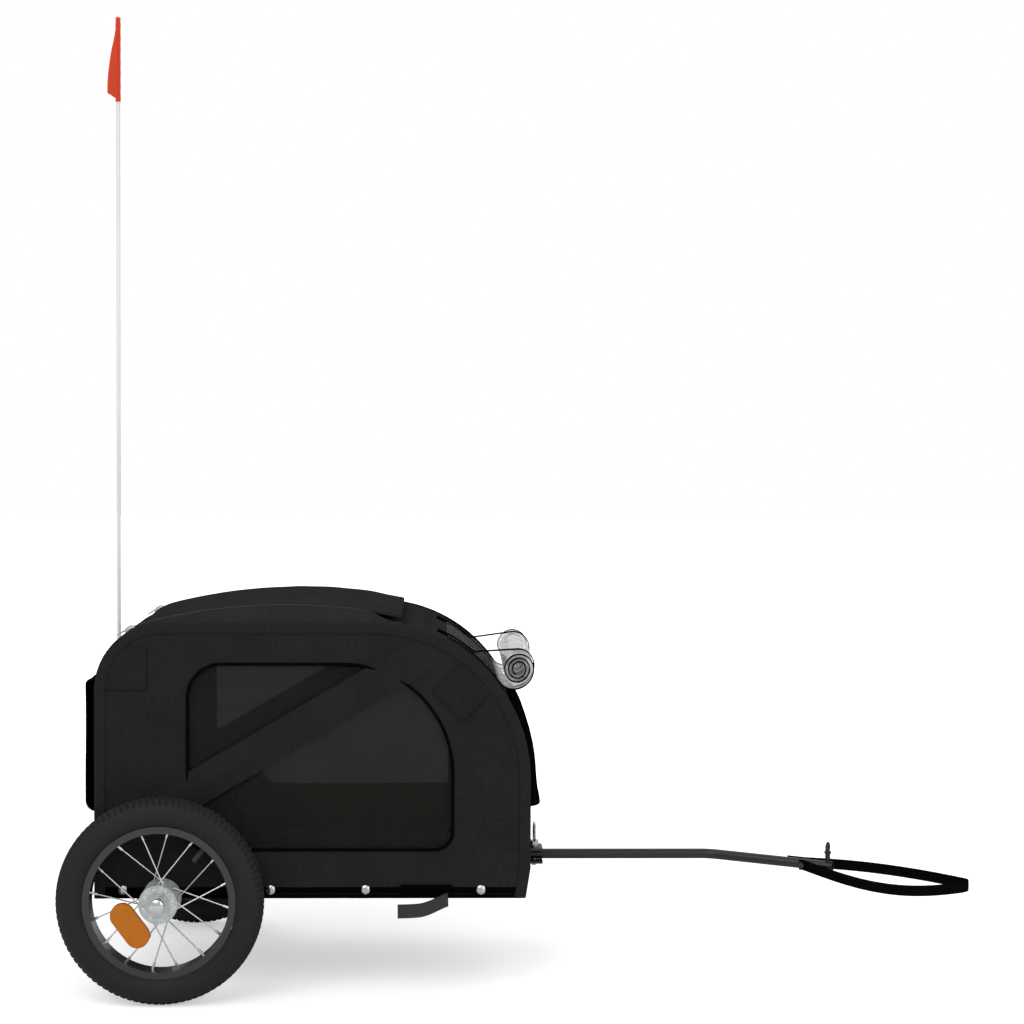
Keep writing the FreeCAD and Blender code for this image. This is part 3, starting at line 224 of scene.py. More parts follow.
def rounded(corners, step=2.0):
    """Outline of a convex polygon whose corners (a, b, radius) are rounded by arcs."""
    out = []
    corners = [np.array(corner, float) for corner in corners]
    for index, corner in enumerate(corners):
        here, radius = corner[:2], corner[2]
        if radius < TINY:
            out.append(here[None])
            continue
        back = unit(corners[index - 1][:2] - here)
        ahead = unit(corners[(index + 1) % len(corners)][:2] - here)
        half = math.acos(np.clip(back @ ahead, -1, 1)) / 2
        middle = here + unit(back + ahead) * radius / math.sin(half)
        first = here + back * radius / math.tan(half) - middle
        last = here + ahead * radius / math.tan(half) - middle
        start = math.degrees(math.atan2(first[1], first[0]))
        swing = (math.degrees(math.atan2(last[1], last[0])) - start + 180) % 360 - 180
        out.append(arc(middle, radius, start, start + swing, step))
    return np.concatenate(out)


def reach(outline, centre, angles):
    """Distance from a centre to a convex outline along each angle: the nearest edge line that the ray meets."""
    ahead = np.roll(outline, -1, axis=0) - outline
    normal = np.stack([ahead[:, 1], -ahead[:, 0]], -1)
    area = np.sum(outline[:, 0] * np.roll(outline[:, 1], -1) - outline[:, 1] * np.roll(outline[:, 0], -1))
    normal *= np.sign(area)
    height = np.sum(normal * (outline - centre), axis=1)
    rays = np.stack([np.cos(angles), np.sin(angles)], -1) @ normal.T
    meets = rays > EDGE_ON
    return np.where(meets, height / np.where(meets, rays, 1), np.inf).min(axis=-1)


def filled(outline, centre, count, *others):
    """Square grid drawn onto a convex outline: the larger of the two square coordinates is the share of the
    distance to the edge, and the direction is kept. With more outlines, the nearest edge counts."""
    a, b = np.meshgrid(np.linspace(-1, 1, count), np.linspace(-1, 1, count), indexing="ij")
    share = np.maximum(np.abs(a), np.abs(b))
    angles = np.arctan2(b, a)
    far = np.minimum.reduce([reach(line, centre, angles.ravel()) for line in (outline,) + others])
    far = far.reshape(share.shape) * share
    return np.stack([centre[0] + far * np.cos(angles), centre[1] + far * np.sin(angles)], -1), share


def ringed(outer, inner, centre, count, rings):
    """Ring between two convex outlines about a centre: rays at even angles and at the outer outline's corners."""
    turn = np.arctan2(outer[:, 1] - centre[1], outer[:, 0] - centre[0])
    edge = np.diff(outer, axis=0, append=outer[:1])
    heading = np.arctan2(edge[:, 1], edge[:, 0])
    swing = np.abs((heading - np.roll(heading, 1) + np.pi) % (2 * np.pi) - np.pi)
    even = np.linspace(-np.pi, np.pi, count, endpoint=False)
    angles = np.unique(np.r_[even, turn[swing > CORNER_SWING]])
    near, far = reach(inner, centre, angles), reach(outer, centre, angles)
    share = np.linspace(0, 1, rings)
    away = near[:, None] + (far - near)[:, None] * share
    points = centre + away[..., None] * np.stack([np.cos(angles), np.sin(angles)], -1)[:, None]
    return points, np.broadcast_to(share, away.shape)


def ripple(a, b, size, seed):
    """Soft unevenness of about -1 to 1: a quarter of the sum of seven sine waves about a size long, each in a
    direction drawn from the seed."""
    draw = np.random.default_rng(seed)
    total = np.zeros(np.broadcast(a, b).shape)
    for _ in range(RIPPLE_WAVES):
        turn, phase = draw.uniform(0, 2 * np.pi, 2)
        wave = 2 * np.pi / (size * draw.uniform(*RIPPLE_SIZES))
        total = total + np.sin(wave * (np.cos(turn) * a + np.sin(turn) * b) + phase)
    return total / RIPPLE_PEAK


def smooth_step(value):
    """Rise from 0 to 1 with no slope at its ends."""
    value = np.clip(value, 0, 1)
    return value * value * (3 - 2 * value)


def hump(share):
    """Nothing at a share of 0 and of 1, and 1 halfway: four times the share times what is left of it."""
    return 4 * share * (1 - share)


# Meshes

class Mould:
    """Collects grids of points, in mm, into one closed mesh with flat-cloth coordinates."""
    least_share = 0.3

    def __init__(self):
        self.points, self.flat, self.faces, self.count = [], [], [], 0

    def grid(self, points, flat=None, wrap=(False, False), caps=False):
        """Quads over a grid. wrap joins the last row or column to the first, and caps close the two ends."""
        rows, columns = points.shape[:2]
        number = self.count + np.arange(rows * columns).reshape(rows, columns)
        wide = np.concatenate([number, number[:1]], 0) if wrap[0] else number
        wide = np.concatenate([wide, wide[:, :1]], 1) if wrap[1] else wide
        quads = np.stack([wide[:-1, :-1], wide[1:, :-1], wide[1:, 1:], wide[:-1, 1:]], -1).reshape(-1, 4)
        self.faces += quads.tolist()
        if caps:
            self.faces += [number[0].tolist(), number[-1][::-1].tolist()]
        return self.take(points, np.zeros((rows, columns, 2)) if flat is None else flat)

    def take(self, points, flat):
        """Keep the points and flat coordinates that new faces use."""
        self.points.append(points.reshape(-1, 3))
        self.flat.append(flat.reshape(-1, 2))
        self.count += len(self.points[-1])
        return self

    def sheet(self, points, normals, thickness, flat, ring=False):
        """Cloth of a thickness under a grid of points: the grid, its copy moved against the normals, and the rim."""
        back = points - normals * thickness
        loop = np.concatenate([points, back[:, ::-1]], 1)
        flats = np.concatenate([flat, flat[:, ::-1]], 1)
        if ring:
            return self.grid(loop, flats, wrap=(True, True))
        start, columns = self.count, points.shape[1]
        self.grid(loop, flats, wrap=(False, True))
        for row, turn in ((0, 1), (points.shape[0] - 1, -1)):
            line = start + row * 2 * columns + np.arange(2 * columns)
            front, rear = line[:columns], line[:columns - 1:-1]
            quads = np.stack([front[:-1], front[1:], rear[1:], rear[:-1]], -1)[:, ::turn]
            self.faces += quads.tolist()
        return self

    def scatter(self, shape, faces, places, axes):
        """Copies of a small shape: each point is the place plus the shape's three coordinates along three axes."""
        points = places[:, None] + np.einsum("vk,nkd->nvd", shape, axes)
        base = self.count + np.arange(len(places))[:, None] * len(shape)
        for face in faces:
            self.faces += (base + np.array(face)).tolist()
        return self.take(points, np.zeros(points.shape[:2] + (2,)))

    def piece(self, name, finish, body, slot, replaces=(), fold=False, soft=None, crease=38, with_pieces=()):
        """Make the object, ride it on its body, hide the parts it replaces, and give a folding piece its own mesh."""
        points = np.concatenate(self.points) * MM + np.array([AXLE_X, 0, 0])
        name = name.replace(" ", "-").replace("_", "-")
        mesh = bpy.data.meshes.new(name)
        mesh.from_pydata(points.tolist(), [], self.faces)
        flat = np.concatenate(self.flat) * MM
        corner = np.empty(len(mesh.loops), np.int32)
        mesh.loops.foreach_get("vertex_index", corner)
        layer = mesh.uv_layers.new(name=UV_NAME)
        layer.data.foreach_set("uv", flat[corner].astype(np.float32).ravel())
        form = bmesh.new()
        form.from_mesh(mesh)
        bmesh.ops.recalc_face_normals(form, faces=form.faces)
        form.to_mesh(mesh)
        form.free()
        mesh.shade_smooth()
        mesh.set_sharp_from_angle(angle=math.radians(crease))
        mesh.materials.append(Finishes.get(finish))
        thing = bpy.data.objects.new(name, mesh)
        bpy.context.scene.collection.objects.link(thing)
        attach(thing, body)
        if replaces:
            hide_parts(*replaces)
        if fold:
            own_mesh(thing)
        if soft:
            size, area = self.cut(flat)
        return thing

    def cut(self, flat):
        """Size and area of the flat cloth: half of what the quads of both its faces cover, and no less than a set
        share of the size."""
        size = np.ptp(flat, axis=0)
        ring = flat[np.array([face for face in self.faces if len(face) == 4])]
        ahead = np.roll(ring, -1, axis=1)
        area = np.abs(np.sum(ring[..., 0] * ahead[..., 1] - ring[..., 1] * ahead[..., 0], axis=1)).sum() / 4
        return size, float(np.clip(area, self.least_share * size[0] * size[1], size[0] * size[1]))

    def cover(self, name, finish, soft=None, replaces=(), body="chassis", slot="cover_fabric"):
        """Make a piece of the cover, with its own mesh."""
        return self.piece(name, finish, body, slot, replaces, fold=True, soft=soft)


def upright(plane, aside):
    """Points of the XZ plane with their Y."""
    return np.stack([plane[..., 0], np.broadcast_to(aside, plane.shape[:-1]), plane[..., 1]], -1)


def level(plane, aside):
    """Points of the XY plane with their Z."""
    return np.concatenate([plane, aside[..., None]], -1)


def sweep(track, profile, distances):
    """Closed profile carried along a side-view path: profile points (out, aside) go along the path's normal and
    across the trailer."""
    plane = track.at(distances)[:, None] + track.side(distances)[:, None] * profile[None, :, :1]
    return upright(plane, profile[None, :, 1])


def carried(track, flat, lift, facing=1.0):
    """Side-view points and normals of flat cloth that runs along a path, lifted off it."""
    normal = facing * track.side(flat[..., 0])
    return track.at(flat[..., 0]) + normal * lift[..., None], normal


def wide_sheet(plane, normal, thickness, flat, ring=False):
    """Cloth across the trailer: side-view points and normals at the flat coordinates' second value."""
    return Mould().sheet(upright(plane, flat[..., 1]), upright(normal, 0.0), thickness, flat, ring)


STITCH = np.array([(-1, 0, -0.3), (0, -1, 0), (0, 0, 1), (0, 1, 0), (0, 0, -0.6), (1, 0, -0.3)], float)
STITCH_FACES = ((0, 1, 2), (0, 2, 3), (0, 3, 4), (0, 4, 1), (5, 2, 1), (5, 3, 2), (5, 4, 3), (5, 1, 4))
STITCH_LONG, STITCH_WIDE, STITCH_HIGH, STITCH_LOOK = 1.45, 0.42, 0.34, 0.5


def stitches(mould, line, out):
    """Row of thread along a line of space points: low spindles, one per pitch, lying along the line."""
    pitch = bpy.context.scene.trailer_cover.stitch_pitch
    marks = run_lengths(line)
    spots = np.arange(pitch / 2, marks[-1], pitch)
    if not len(spots):
        return
    along = unit(picked(spots + STITCH_LOOK, marks, line) - picked(spots - STITCH_LOOK, marks, line))
    up = picked(spots, marks, np.broadcast_to(np.asarray(out, float), line.shape))
    up = unit(up - along * np.sum(up * along, axis=1, keepdims=True))
    axes = np.stack([along * STITCH_LONG, np.cross(up, along) * STITCH_WIDE, up * STITCH_HIGH], 1)
    mould.scatter(STITCH, STITCH_FACES, picked(spots, marks, line), axes)


# The cover's outlines

TUCK = 7.0
TUCK_HEIGHT = 44.0
WINDOW = (35.5, 421.0, 216.0, 486.0)
WINDOW_CORNERS = (25.0, 25.0, 160.0, 48.0)


def arcs():
    """Centres of the roof's two curves, the front one first."""
    c = bpy.context.scene.trailer_cover
    return ((c.front - c.front_radius, c.top - c.front_radius), (c.rear + c.rear_radius, c.top - c.rear_radius))


def cabin_corners(inset):
    """Corners of the cabin's side outline, drawn in by an inset, from the rear foot over the top to the front foot."""
    c = bpy.context.scene.trailer_cover
    rear, front, top = c.rear + inset, c.front - inset, c.top - inset
    return [(rear, c.bottom, 0), (rear, top, c.rear_radius - inset), (front, top, c.front_radius - inset),
            (front, c.bottom + TUCK_HEIGHT, 0), (front - TUCK, c.bottom, 0)]


def cabin_track():
    """Path over the cabin from the rear foot to the front foot: its normal points outwards."""
    return divided(rounded(cabin_corners(0.0), CABIN_ARC_STEP), CABIN_STEP)


def window_outline(grow):
    """Outline of the side window, grown by a margin."""
    left, right, low, high = WINDOW
    places = ((left - grow, low - grow), (right + grow, low - grow), (right + grow, high + grow),
              (left - grow, high + grow))
    return rounded([place + (radius + grow,) for place, radius in zip(places, WINDOW_CORNERS)])


def quad(middle, size, degrees):
    """Corners of a square about a point, turned by an angle."""
    return turned(np.array([(-1, -1), (1, -1), (1, 1), (-1, 1)]) * size / 2, degrees, middle)


# Node groups and finishes

SLUB_LONG, SLUB_FINE = 40, 900
SLUB_SHARE, CLOUD_SHARE, CLOUD_SCALE = 0.75, 0.25, 14.0
RIB_LEAN = 0.004
RIB_THREADS = (300, 2600, 1)
MARK_SCALE = 9.0
SPANGLE_SCALE = 190.0
SPANGLE_DARK = (0.45, 0.45, 0.47)
CLOTH_WORN = 0.14
NET_PITCH = 0.0011
FILM_GRAIN = 60.0


def wire(tree, node, inputs):
    """Link or set a node's inputs by name or number."""
    for key, value in inputs.items():
        if isinstance(value, bpy.types.NodeSocket):
            tree.links.new(value, node.inputs[key])
        else:
            node.inputs[key].default_value = value
    return node


def put(tree, kind, inputs=None, **settings):
    """Add a node with its settings, and link or set its inputs."""
    node = tree.nodes.new(kind)
    for key, value in settings.items():
        setattr(node, key, value)
    return wire(tree, node, inputs or {})


def sums(tree, operation, *values):
    """One sum of values or sockets."""
    return put(tree, "ShaderNodeMath", dict(enumerate(values)), operation=operation).outputs[0]


def vectors(tree, operation, first, second, output=0):
    """One sum of two vectors."""
    return put(tree, "ShaderNodeVectorMath", {0: first, 1: second}, operation=operation).outputs[output]


def parts_of(tree, vector):
    """The three coordinates of a vector."""
    return put(tree, "ShaderNodeSeparateXYZ", {0: vector}).outputs


def noise(tree, vector, scale, detail=2.0):
    """Noise value of a vector."""
    return put(tree, "ShaderNodeTexNoise", {"Vector": vector, "Scale": scale, "Detail": detail}).outputs[0]


def ranged(tree, value, low, high, start=0.3, end=0.7):
    """Value moved from one range into another."""
    return put(tree, "ShaderNodeMapRange", {0: value, 1: start, 2: end, 3: low, 4: high}).outputs[0]


def blend(tree, factor, dark, light, kind="MIX"):
    """Colour between two by a factor, or another blend of the two."""
    dark, light = (value if isinstance(value, bpy.types.NodeSocket) else (*value, 1) for value in (dark, light))
    mix = put(tree, "ShaderNodeMix", {0: factor, 6: dark, 7: light}, data_type="RGBA", blend_type=kind)
    return mix.outputs[2]


def tint(colour, factor):
    """Colour made lighter or darker."""
    return tuple(min(1.0, channel * factor) for channel in colour)


def group(name, setting, kind, outputs, fill):
    """Node group with a vector, one named setting and float outputs, built once."""
    found = bpy.data.node_groups.get(name)
    if found:
        return found
    tree = bpy.data.node_groups.new(name, "ShaderNodeTree")
    tree.interface.new_socket("Vector", in_out="INPUT", socket_type="NodeSocketVector")
    tree.interface.new_socket(setting, in_out="INPUT", socket_type=kind)
    for title in outputs:
        tree.interface.new_socket(title, in_out="OUTPUT", socket_type="NodeSocketFloat")
    start = tree.nodes.new("NodeGroupInput")
    wire(tree, tree.nodes.new("NodeGroupOutput"), fill(tree, start.outputs))
    return tree


def weave_group():
    """Plain weave: the product of two sines is up where warp lies over weft, and long thin noise along each
    thread makes thick and thin places."""
    def fill(tree, ins):
        cut = parts_of(tree, ins["Vector"])
        wave = sums(tree, "DIVIDE", math.pi, ins["Pitch"])
        warp = sums(tree, "SINE", sums(tree, "MULTIPLY", cut[0], wave))
        weft = sums(tree, "SINE", sums(tree, "MULTIPLY", cut[1], wave))
        knots = sums(tree, "MULTIPLY_ADD", sums(tree, "MULTIPLY", warp, weft), 0.5, 0.5)
        long_u = noise(tree, vectors(tree, "MULTIPLY", ins["Vector"], (SLUB_LONG, SLUB_FINE, 1)), 1.0)
        long_v = noise(tree, vectors(tree, "MULTIPLY", ins["Vector"], (SLUB_FINE, SLUB_LONG, 1)), 1.0)
        slub = sums(tree, "MULTIPLY", sums(tree, "ADD", long_u, long_v), 0.5)
        cloud = noise(tree, ins["Vector"], CLOUD_SCALE)
        shade = sums(tree, "ADD", sums(tree, "MULTIPLY", slub, SLUB_SHARE), sums(tree, "MULTIPLY", cloud, CLOUD_SHARE))
        return {"Height": sums(tree, "ADD", knots, slub), "Shade": shade}
    return group("Plain weave", "Pitch", "NodeSocketFloat", ("Height", "Shade"), fill)


def tape_group():
    """Ribbed tape: ribs across the tape lean one way and then the other across its width, with uneven threads."""
    def fill(tree, ins):
        cut = parts_of(tree, ins["Vector"])
        wave = sums(tree, "DIVIDE", math.pi, ins["Pitch"])
        lean = sums(tree, "PINGPONG", cut[1], RIB_LEAN)
        ribs = sums(tree, "SINE", sums(tree, "MULTIPLY", sums(tree, "ADD", cut[0], lean), wave))
        threads = noise(tree, vectors(tree, "MULTIPLY", ins["Vector"], RIB_THREADS), 1.0)
        return {"Height": sums(tree, "ADD", sums(tree, "ABSOLUTE", ribs), threads), "Shade": threads}
    return group("Ribbed tape", "Pitch", "NodeSocketFloat", ("Height", "Shade"), fill)


def grain_group():
    """Grain of paint, moulding and rubber: fine noise for the skin, and broad noise for hand marks and dust."""
    def fill(tree, ins):
        return {"Height": noise(tree, ins["Vector"], ins["Scale"], 3.0),
                "Shade": noise(tree, ins["Vector"], MARK_SCALE, 4.0)}
    return group("Skin grain", "Scale", "NodeSocketFloat", ("Height", "Shade"), fill)


def brushed_group():
    """Drawn metal: noise stretched along one direction, and spangle cells of plating."""
    def fill(tree, ins):
        lines = noise(tree, vectors(tree, "MULTIPLY", ins["Vector"], ins["Stretch"]), 1.0, 3.0)
        cells = put(tree, "ShaderNodeTexVoronoi", {"Vector": ins["Vector"], "Scale": SPANGLE_SCALE})
        return {"Height": lines, "Shade": lines, "Spangle": parts_of(tree, cells.outputs["Color"])[0]}
    return group("Drawn metal", "Stretch", "NodeSocketVector", ("Height", "Shade", "Spangle"), fill)


def fresh(name):
    """New material with a Principled shader, and its tree."""
    material = bpy.data.materials.new(name)
    material.use_nodes = True
    tree = material.node_tree
    return material, tree, tree.nodes["Principled BSDF"]


def on_cloth(tree, pattern, pitch):
    """Outputs of a pattern on the piece's flat coordinates."""
    flat = put(tree, "ShaderNodeUVMap", uv_map=UV_NAME).outputs[0]
    return put(tree, "ShaderNodeGroup", {"Vector": flat, "Pitch": pitch}, node_tree=pattern).outputs


def on_solid(tree, pattern, setting, value):
    """Outputs of a pattern in the piece's own space."""
    place = put(tree, "ShaderNodeTexCoord").outputs["Object"]
    return put(tree, "ShaderNodeGroup", {"Vector": place, setting: value}, node_tree=pattern).outputs


def shaded(tree, shade, colour, less, more):
    """Colour that a shade makes less and more bright."""
    return blend(tree, ranged(tree, shade, 0, 1), tint(colour, less), tint(colour, more))


def relief(tree, height, depth, strength):
    """Normal of a surface with a height."""
    return put(tree, "ShaderNodeBump", {"Height": height, "Distance": depth, "Strength": strength}).outputs[0]


def clothed(name, colour, pitch, depth, ribbed=False, contrast=0.34, rough=0.96, specular=0.0):
    """Cloth or tape on the piece's flat coordinates: thread colour, roughness and relief come from the weave."""
    material, tree, shader = fresh(name)
    weave = on_cloth(tree, tape_group() if ribbed else weave_group(), pitch)
    wire(tree, shader, {
        "Base Color": shaded(tree, weave["Shade"], colour, 1 - contrast, 1 + contrast),
        "Roughness": ranged(tree, weave["Shade"], rough, rough - CLOTH_WORN),
        "Normal": relief(tree, weave["Height"], depth, 0.7),
        "Specular IOR Level": specular,
    })
    return material


def skinned(name, colour, rough, scale=900.0, depth=0.00008, contrast=0.18, specular=0.5, coat=0.0):
    """Paint, moulding or rubber: a fine grain in the relief, and hand marks in colour and roughness."""
    material, tree, shader = fresh(name)
    grain = on_solid(tree, grain_group(), "Scale", scale)
    wire(tree, shader, {
        "Base Color": shaded(tree, grain["Shade"], colour, 1 - contrast, 1 + contrast),
        "Roughness": ranged(tree, grain["Shade"], rough * 0.85, rough * 1.15),
        "Normal": relief(tree, grain["Height"], depth, 0.6),
        "Specular IOR Level": specular,
        "Coat Weight": coat,
    })
    return material


def drawn(name, colour, rough, stretch, spangle=0.0, depth=0.00004):
    """Bare or plated metal: drawing marks in the roughness, and plating cells in the colour."""
    material, tree, shader = fresh(name)
    marks = on_solid(tree, brushed_group(), "Stretch", stretch)
    worn = shaded(tree, marks["Shade"], colour, 0.86, 1.08)
    cells = blend(tree, ranged(tree, marks["Spangle"], 0, spangle, 0, 1), (1, 1, 1), SPANGLE_DARK)
    wire(tree, shader, {
        "Base Color": blend(tree, 1.0, worn, cells, "MULTIPLY"),
        "Roughness": ranged(tree, marks["Shade"], rough * 0.8, rough * 1.25),
        "Normal": relief(tree, marks["Height"], depth, 0.5),
        "Metallic": 1.0,
    })
    return material


def netting(name, colour):
    """Window net: the weave's own holes let light through, a little more where the threads are thin."""
    material, tree, shader = fresh(name)
    weave = on_cloth(tree, weave_group(), NET_PITCH)
    wire(tree, shader, {
        "Base Color": shaded(tree, weave["Shade"], colour, 0.7, 1.3),
        "Alpha": ranged(tree, weave["Shade"], 0.66, 0.77),
        "Normal": relief(tree, weave["Height"], 0.0003, 0.6),
        "Roughness": 0.9,
        "Specular IOR Level": 0.05,
    })
    return material


def clear_film(name):
    """Clear rain sheet: glossy, clear where it lies flat on the cover, and white and near opaque from the place where
    it is rolled: painted reflection of its stacked layers.
    """
    material, tree, shader = fresh(name)
    grain = on_solid(tree, grain_group(), "Scale", FILM_GRAIN)["Height"]
    run = parts_of(tree, put(tree, "ShaderNodeUVMap", uv_map=UV_NAME).outputs[0])[0]
    rolled = ranged(tree, run, 0, 1, *FILM_ROLLED)
    painted_reflection = ranged(tree, grain, 0.45, 0.8)
    wire(tree, shader, {
        # White base colour and the opacity in Alpha: painted reflection of the rolled clear film.
        "Base Color": blend(tree, ranged(tree, grain, 0, 1, 0.45, 0.75), (0.98, 0.98, 0.98), (0.88, 0.89, 0.90)),
        "Roughness": ranged(tree, grain, 0.05, 0.2),
        "Alpha": sums(tree, "MULTIPLY", painted_reflection, ranged(tree, rolled, 0.04, 1.0)),
        "Normal": relief(tree, grain, 0.0012, 0.8),
        "Coat Weight": ranged(tree, rolled, 0.02, 0.6),
        "Coat Roughness": 0.05,
    })
    return material


class Finishes:
    """All finishes by name, made once."""
    made = {}

    @classmethod
    def get(cls, name):
        """Finish by name."""
        if not cls.made:
            cls.made = {**cls.cloths(), **cls.solids()}
        return cls.made[name]

    @classmethod
    def cloths(cls):
        """Cloth, tape, net and film."""
        c = bpy.context.scene.trailer_colours
        tape, cover = tuple(c.tape), tuple(c.cover)
        return {
            "cover": clothed("Cover cloth", cover, 0.0011, 0.0004),
            # Roof cloth: the cover cloth made lighter and purple, as painted sheen.
            "roof": clothed("Roof cloth", tuple(c.roof), 0.0011, 0.0003),
            "patch": clothed("Patch cloth", tint(cover, 0.93), 0.0009, 0.0003),
            # Flap cloth: its near-black is partly painted shade on the flaps, hems and webbing tab.
            "flap": clothed("Flap cloth", tuple(c.flap), 0.0012, 0.0003),
            # Zip strip cloth: the cover cloth made 1.3 times as light, as painted sheen on strips that face up.
            "strip": clothed("Strip cloth", tint(cover, 1.3), 0.0011, 0.0003),
            "binding": clothed("Binding tape", tint(cover, 1.2), 0.0021, 0.0005, ribbed=True, contrast=0.55),
            "piping": clothed("Piping", tint(tape, 0.8), 0.0016, 0.0002),
            "webbing": clothed("Webbing", tape, 0.0024, 0.0005, ribbed=True, contrast=0.6),
            # The tail's webbing made far lighter than the other webbing: painted satin sheen, besides its own
            # specular.
            "tail": clothed("Satin webbing", tint(cover, 1.35), 0.0020, 0.0003, ribbed=True, rough=0.6, specular=0.3),
            "elastic": clothed("Elastic", tape, 0.0016, 0.0003, ribbed=True),
            "thread": clothed("Sewing thread", tint(cover, 1.35), 0.0008, 0.0001),
            "pennant": clothed("Flag cloth", tuple(c.pennant), 0.0009, 0.0002, contrast=0.12, rough=0.8),
            "quilt": clothed("Mat cloth", tint(cover, 1.8), 0.0014, 0.0005),
            "net": netting("Window net", tuple(c.net)),
            "film": clear_film("Clear film"),
        }

    @classmethod
    def solids(cls):
        """Rubber, paint, mouldings and metal."""
        c = bpy.context.scene.trailer_colours
        return {
            "tyre": skinned("Tyre rubber", tuple(c.tyre), 0.74, 1400, 0.0001, 0.22, specular=0.3),
            "tube": skinned("Tube rubber", (0.03, 0.03, 0.03), 0.7, 900, specular=0.3),
            "rim": skinned("Rim paint", (0.010, 0.010, 0.010), 0.30, 700, 0.00003, coat=0.4),
            "frame": skinned("Powder coat", (0.014, 0.014, 0.015), 0.5, 1600, 0.00012),
            "board": skinned("Board", (0.03, 0.03, 0.032), 0.7, 500, 0.0002),
            "zip": skinned("Zip moulding", (0.012, 0.012, 0.012), 0.42, 900),
            "lens": skinned("Reflector moulding", tuple(c.lens), 0.3, 500, 0.00002, 0.1, specular=0.2, coat=0.15),
            "pole": skinned("Glass fibre", (0.78, 0.79, 0.80), 0.34, 700, 0.00004, 0.05, coat=0.2),
            "spoke": drawn("Spoke wire", (0.70, 0.71, 0.73), 0.3, (500, 500, 500)),
            "hub": drawn("Galvanised hub", (0.62, 0.65, 0.64), 0.42, (300, 300, 300), spangle=0.5),
            "button": drawn("Bright button", (0.68, 0.70, 0.71), 0.2, (400, 60, 400), spangle=0.15),
            "plated": drawn("Zinc plate", (0.56, 0.55, 0.53), 0.28, (600, 600, 80), spangle=0.12),
            "bar": drawn("Satin bar", tuple(c.bar), 0.42, (70, 900, 900), spangle=0.1),
        }


CAD_FINISHES = {
    "tube": ("right_inner_tube", "left_inner_tube"),
    "rim": ("right_rim", "left_rim"),
    "spoke": ("right_spokes", "left_spokes"),
    "hub": ("right_hub", "left_hub", "right_bearings", "left_bearings", "right_stub_axle", "left_stub_axle",
            "axle_sockets"),
    "button": ("right_release_button", "left_release_button"),
    "lens": ("right_reflector", "left_reflector"),
    "frame": ("right_side_rail", "left_side_rail", "front_cross_tube", "rear_cross_tube", "axle_cross_tube",
              "hoop_brackets", "rear_hoop", "front_hoop"),
    "plated": ("hoop_pivot_bolts", "hem_rivets", "tow_bar_pin"),
    "bar": ("tow_bar", "tow_receiver", "hitch_pin"),
    "zip": ("strap_rivet",),
    "board": ("floor_board", "flag_socket"),
    "pole": ("flag_pole",),
}


# Cover pieces: lengths in mm, side-view places as (x from the axle, z)

SEWN_GAP = 0.2
PANEL_MIDDLE = np.array([228.0, 345.0])
PANEL_CLOTH = 2.6
PANEL_RAYS, PANEL_RINGS, PANEL_WAVE, PANEL_SEED = 420, 34, 75.0, 3
SLEEVE_MIDDLE = np.array([152.0, 368.0])
SLEEVE_ANGLE = 30.5
SLEEVE_HALF = 26.0
SLEEVE_COLUMNS, SLEEVE_CELLS, SLEEVE_LINE = 26, 240, 200
SLEEVE_AFT = 290.0
SLEEVE_FORE = 268.0
SLEEVE_REAR = -84.7
SLEEVE_EASE = 45
SLEEVE_STAND, SLEEVE_CROWN, SLEEVE_SLACK = 1.3, 2.4, 0.55
SLEEVE_CLOTH = 1.4
SLEEVE_STRETCH, SLEEVE_WAVE, SLEEVE_SEED = 0.35, 26.0, 11
PATCH_SIZE = 62.0
PATCH_REAR = np.array([-56.0, 481.0])
PATCH_INSET, PATCH_ANGLE = 45.0, 45.0
PATCH_EDGE = 14.3
PATCH_CELLS, PATCH_WAVE, PATCH_SEED = 36, 22.0, 5
PATCH_STAND, PATCH_UNEVEN, PATCH_CLOTH = 2.3, 0.25, 2.8
NET_OVERLAP, NET_INSET, NET_CLOTH = 8.0, 1.2, 0.8
NET_CELLS = 110
NET_SLACK, NET_SLACK_SIZE = (395, 235), (90, 70)
NET_LEAN, NET_CREASE, NET_CREASE_HEIGHT = 0.8, 6.0, 1.1
NET_UNEVEN, NET_WAVE, NET_SEED, NET_HIGHEST = 0.6, 90.0, 8, 0.8
PIPING_CUT, PIPING_SHARE = 14.4, 0.46
PIPING_GROW, PIPING_RADIUS, PIPING_SIDES = 1.0, 2.3, 12
BINDING = np.array([(-14, 0.1), (-14, 1.6), (-12, 2.3), (-7, 2.4), (-2, 2.4), (1, 1.8), (2.2, 0), (2.3, -4), (2, -8),
                    (0.4, -8), (0.4, -0.3)])
BINDING_STEP, BINDING_RIB, BINDING_RIB_HEIGHT = 0.62, 2.5, 0.3
HEM_HEIGHT = 16.0
HEM_CELLS, HEM_SEED = (260, 9), 2
HEM_STAND, HEM_SWELL, HEM_UNEVEN, HEM_WAVE, HEM_CLOTH = 1.1, 0.4, 0.25, 40, 1.7
SKIRT_SPAN = (30.0, 480.0)
SKIRT_CELLS, SKIRT_SEED = (120, 16), 17
SKIRT_LOW, SKIRT_HIGH, SKIRT_SAG = 186.0, 247.0, 4.0
SKIRT_INSET, SKIRT_UNEVEN, SKIRT_WAVE, SKIRT_CLOTH = 6.0, 1.2, 60.0, 1.2
SHELL_CLOTH = 3.0
SHELL_HALF = 186.7
SHELL_RAYS, SHELL_RINGS = 360, 30
SHELL_UNEVEN, SHELL_WAVE = 0.8, 80.0
REAR_SEED, ROOF_SEED, FRONT_SEED = 21, 22, 23
ROOF_SEAM = 386.0
REAR_SEAM = 448.0
SEAM_HALF, SEAM_LIFT, SEAM_BOW, SEAM_CLOTH, SEAM_CELLS = 6, 0.9, 15, 1.2, (9, 60)
DOOR_HALF = 132.0
HATCH_HALF = 128.0
HATCH = (-10.0, 322.0)
REAR_DOOR = (282.0, 438.0)
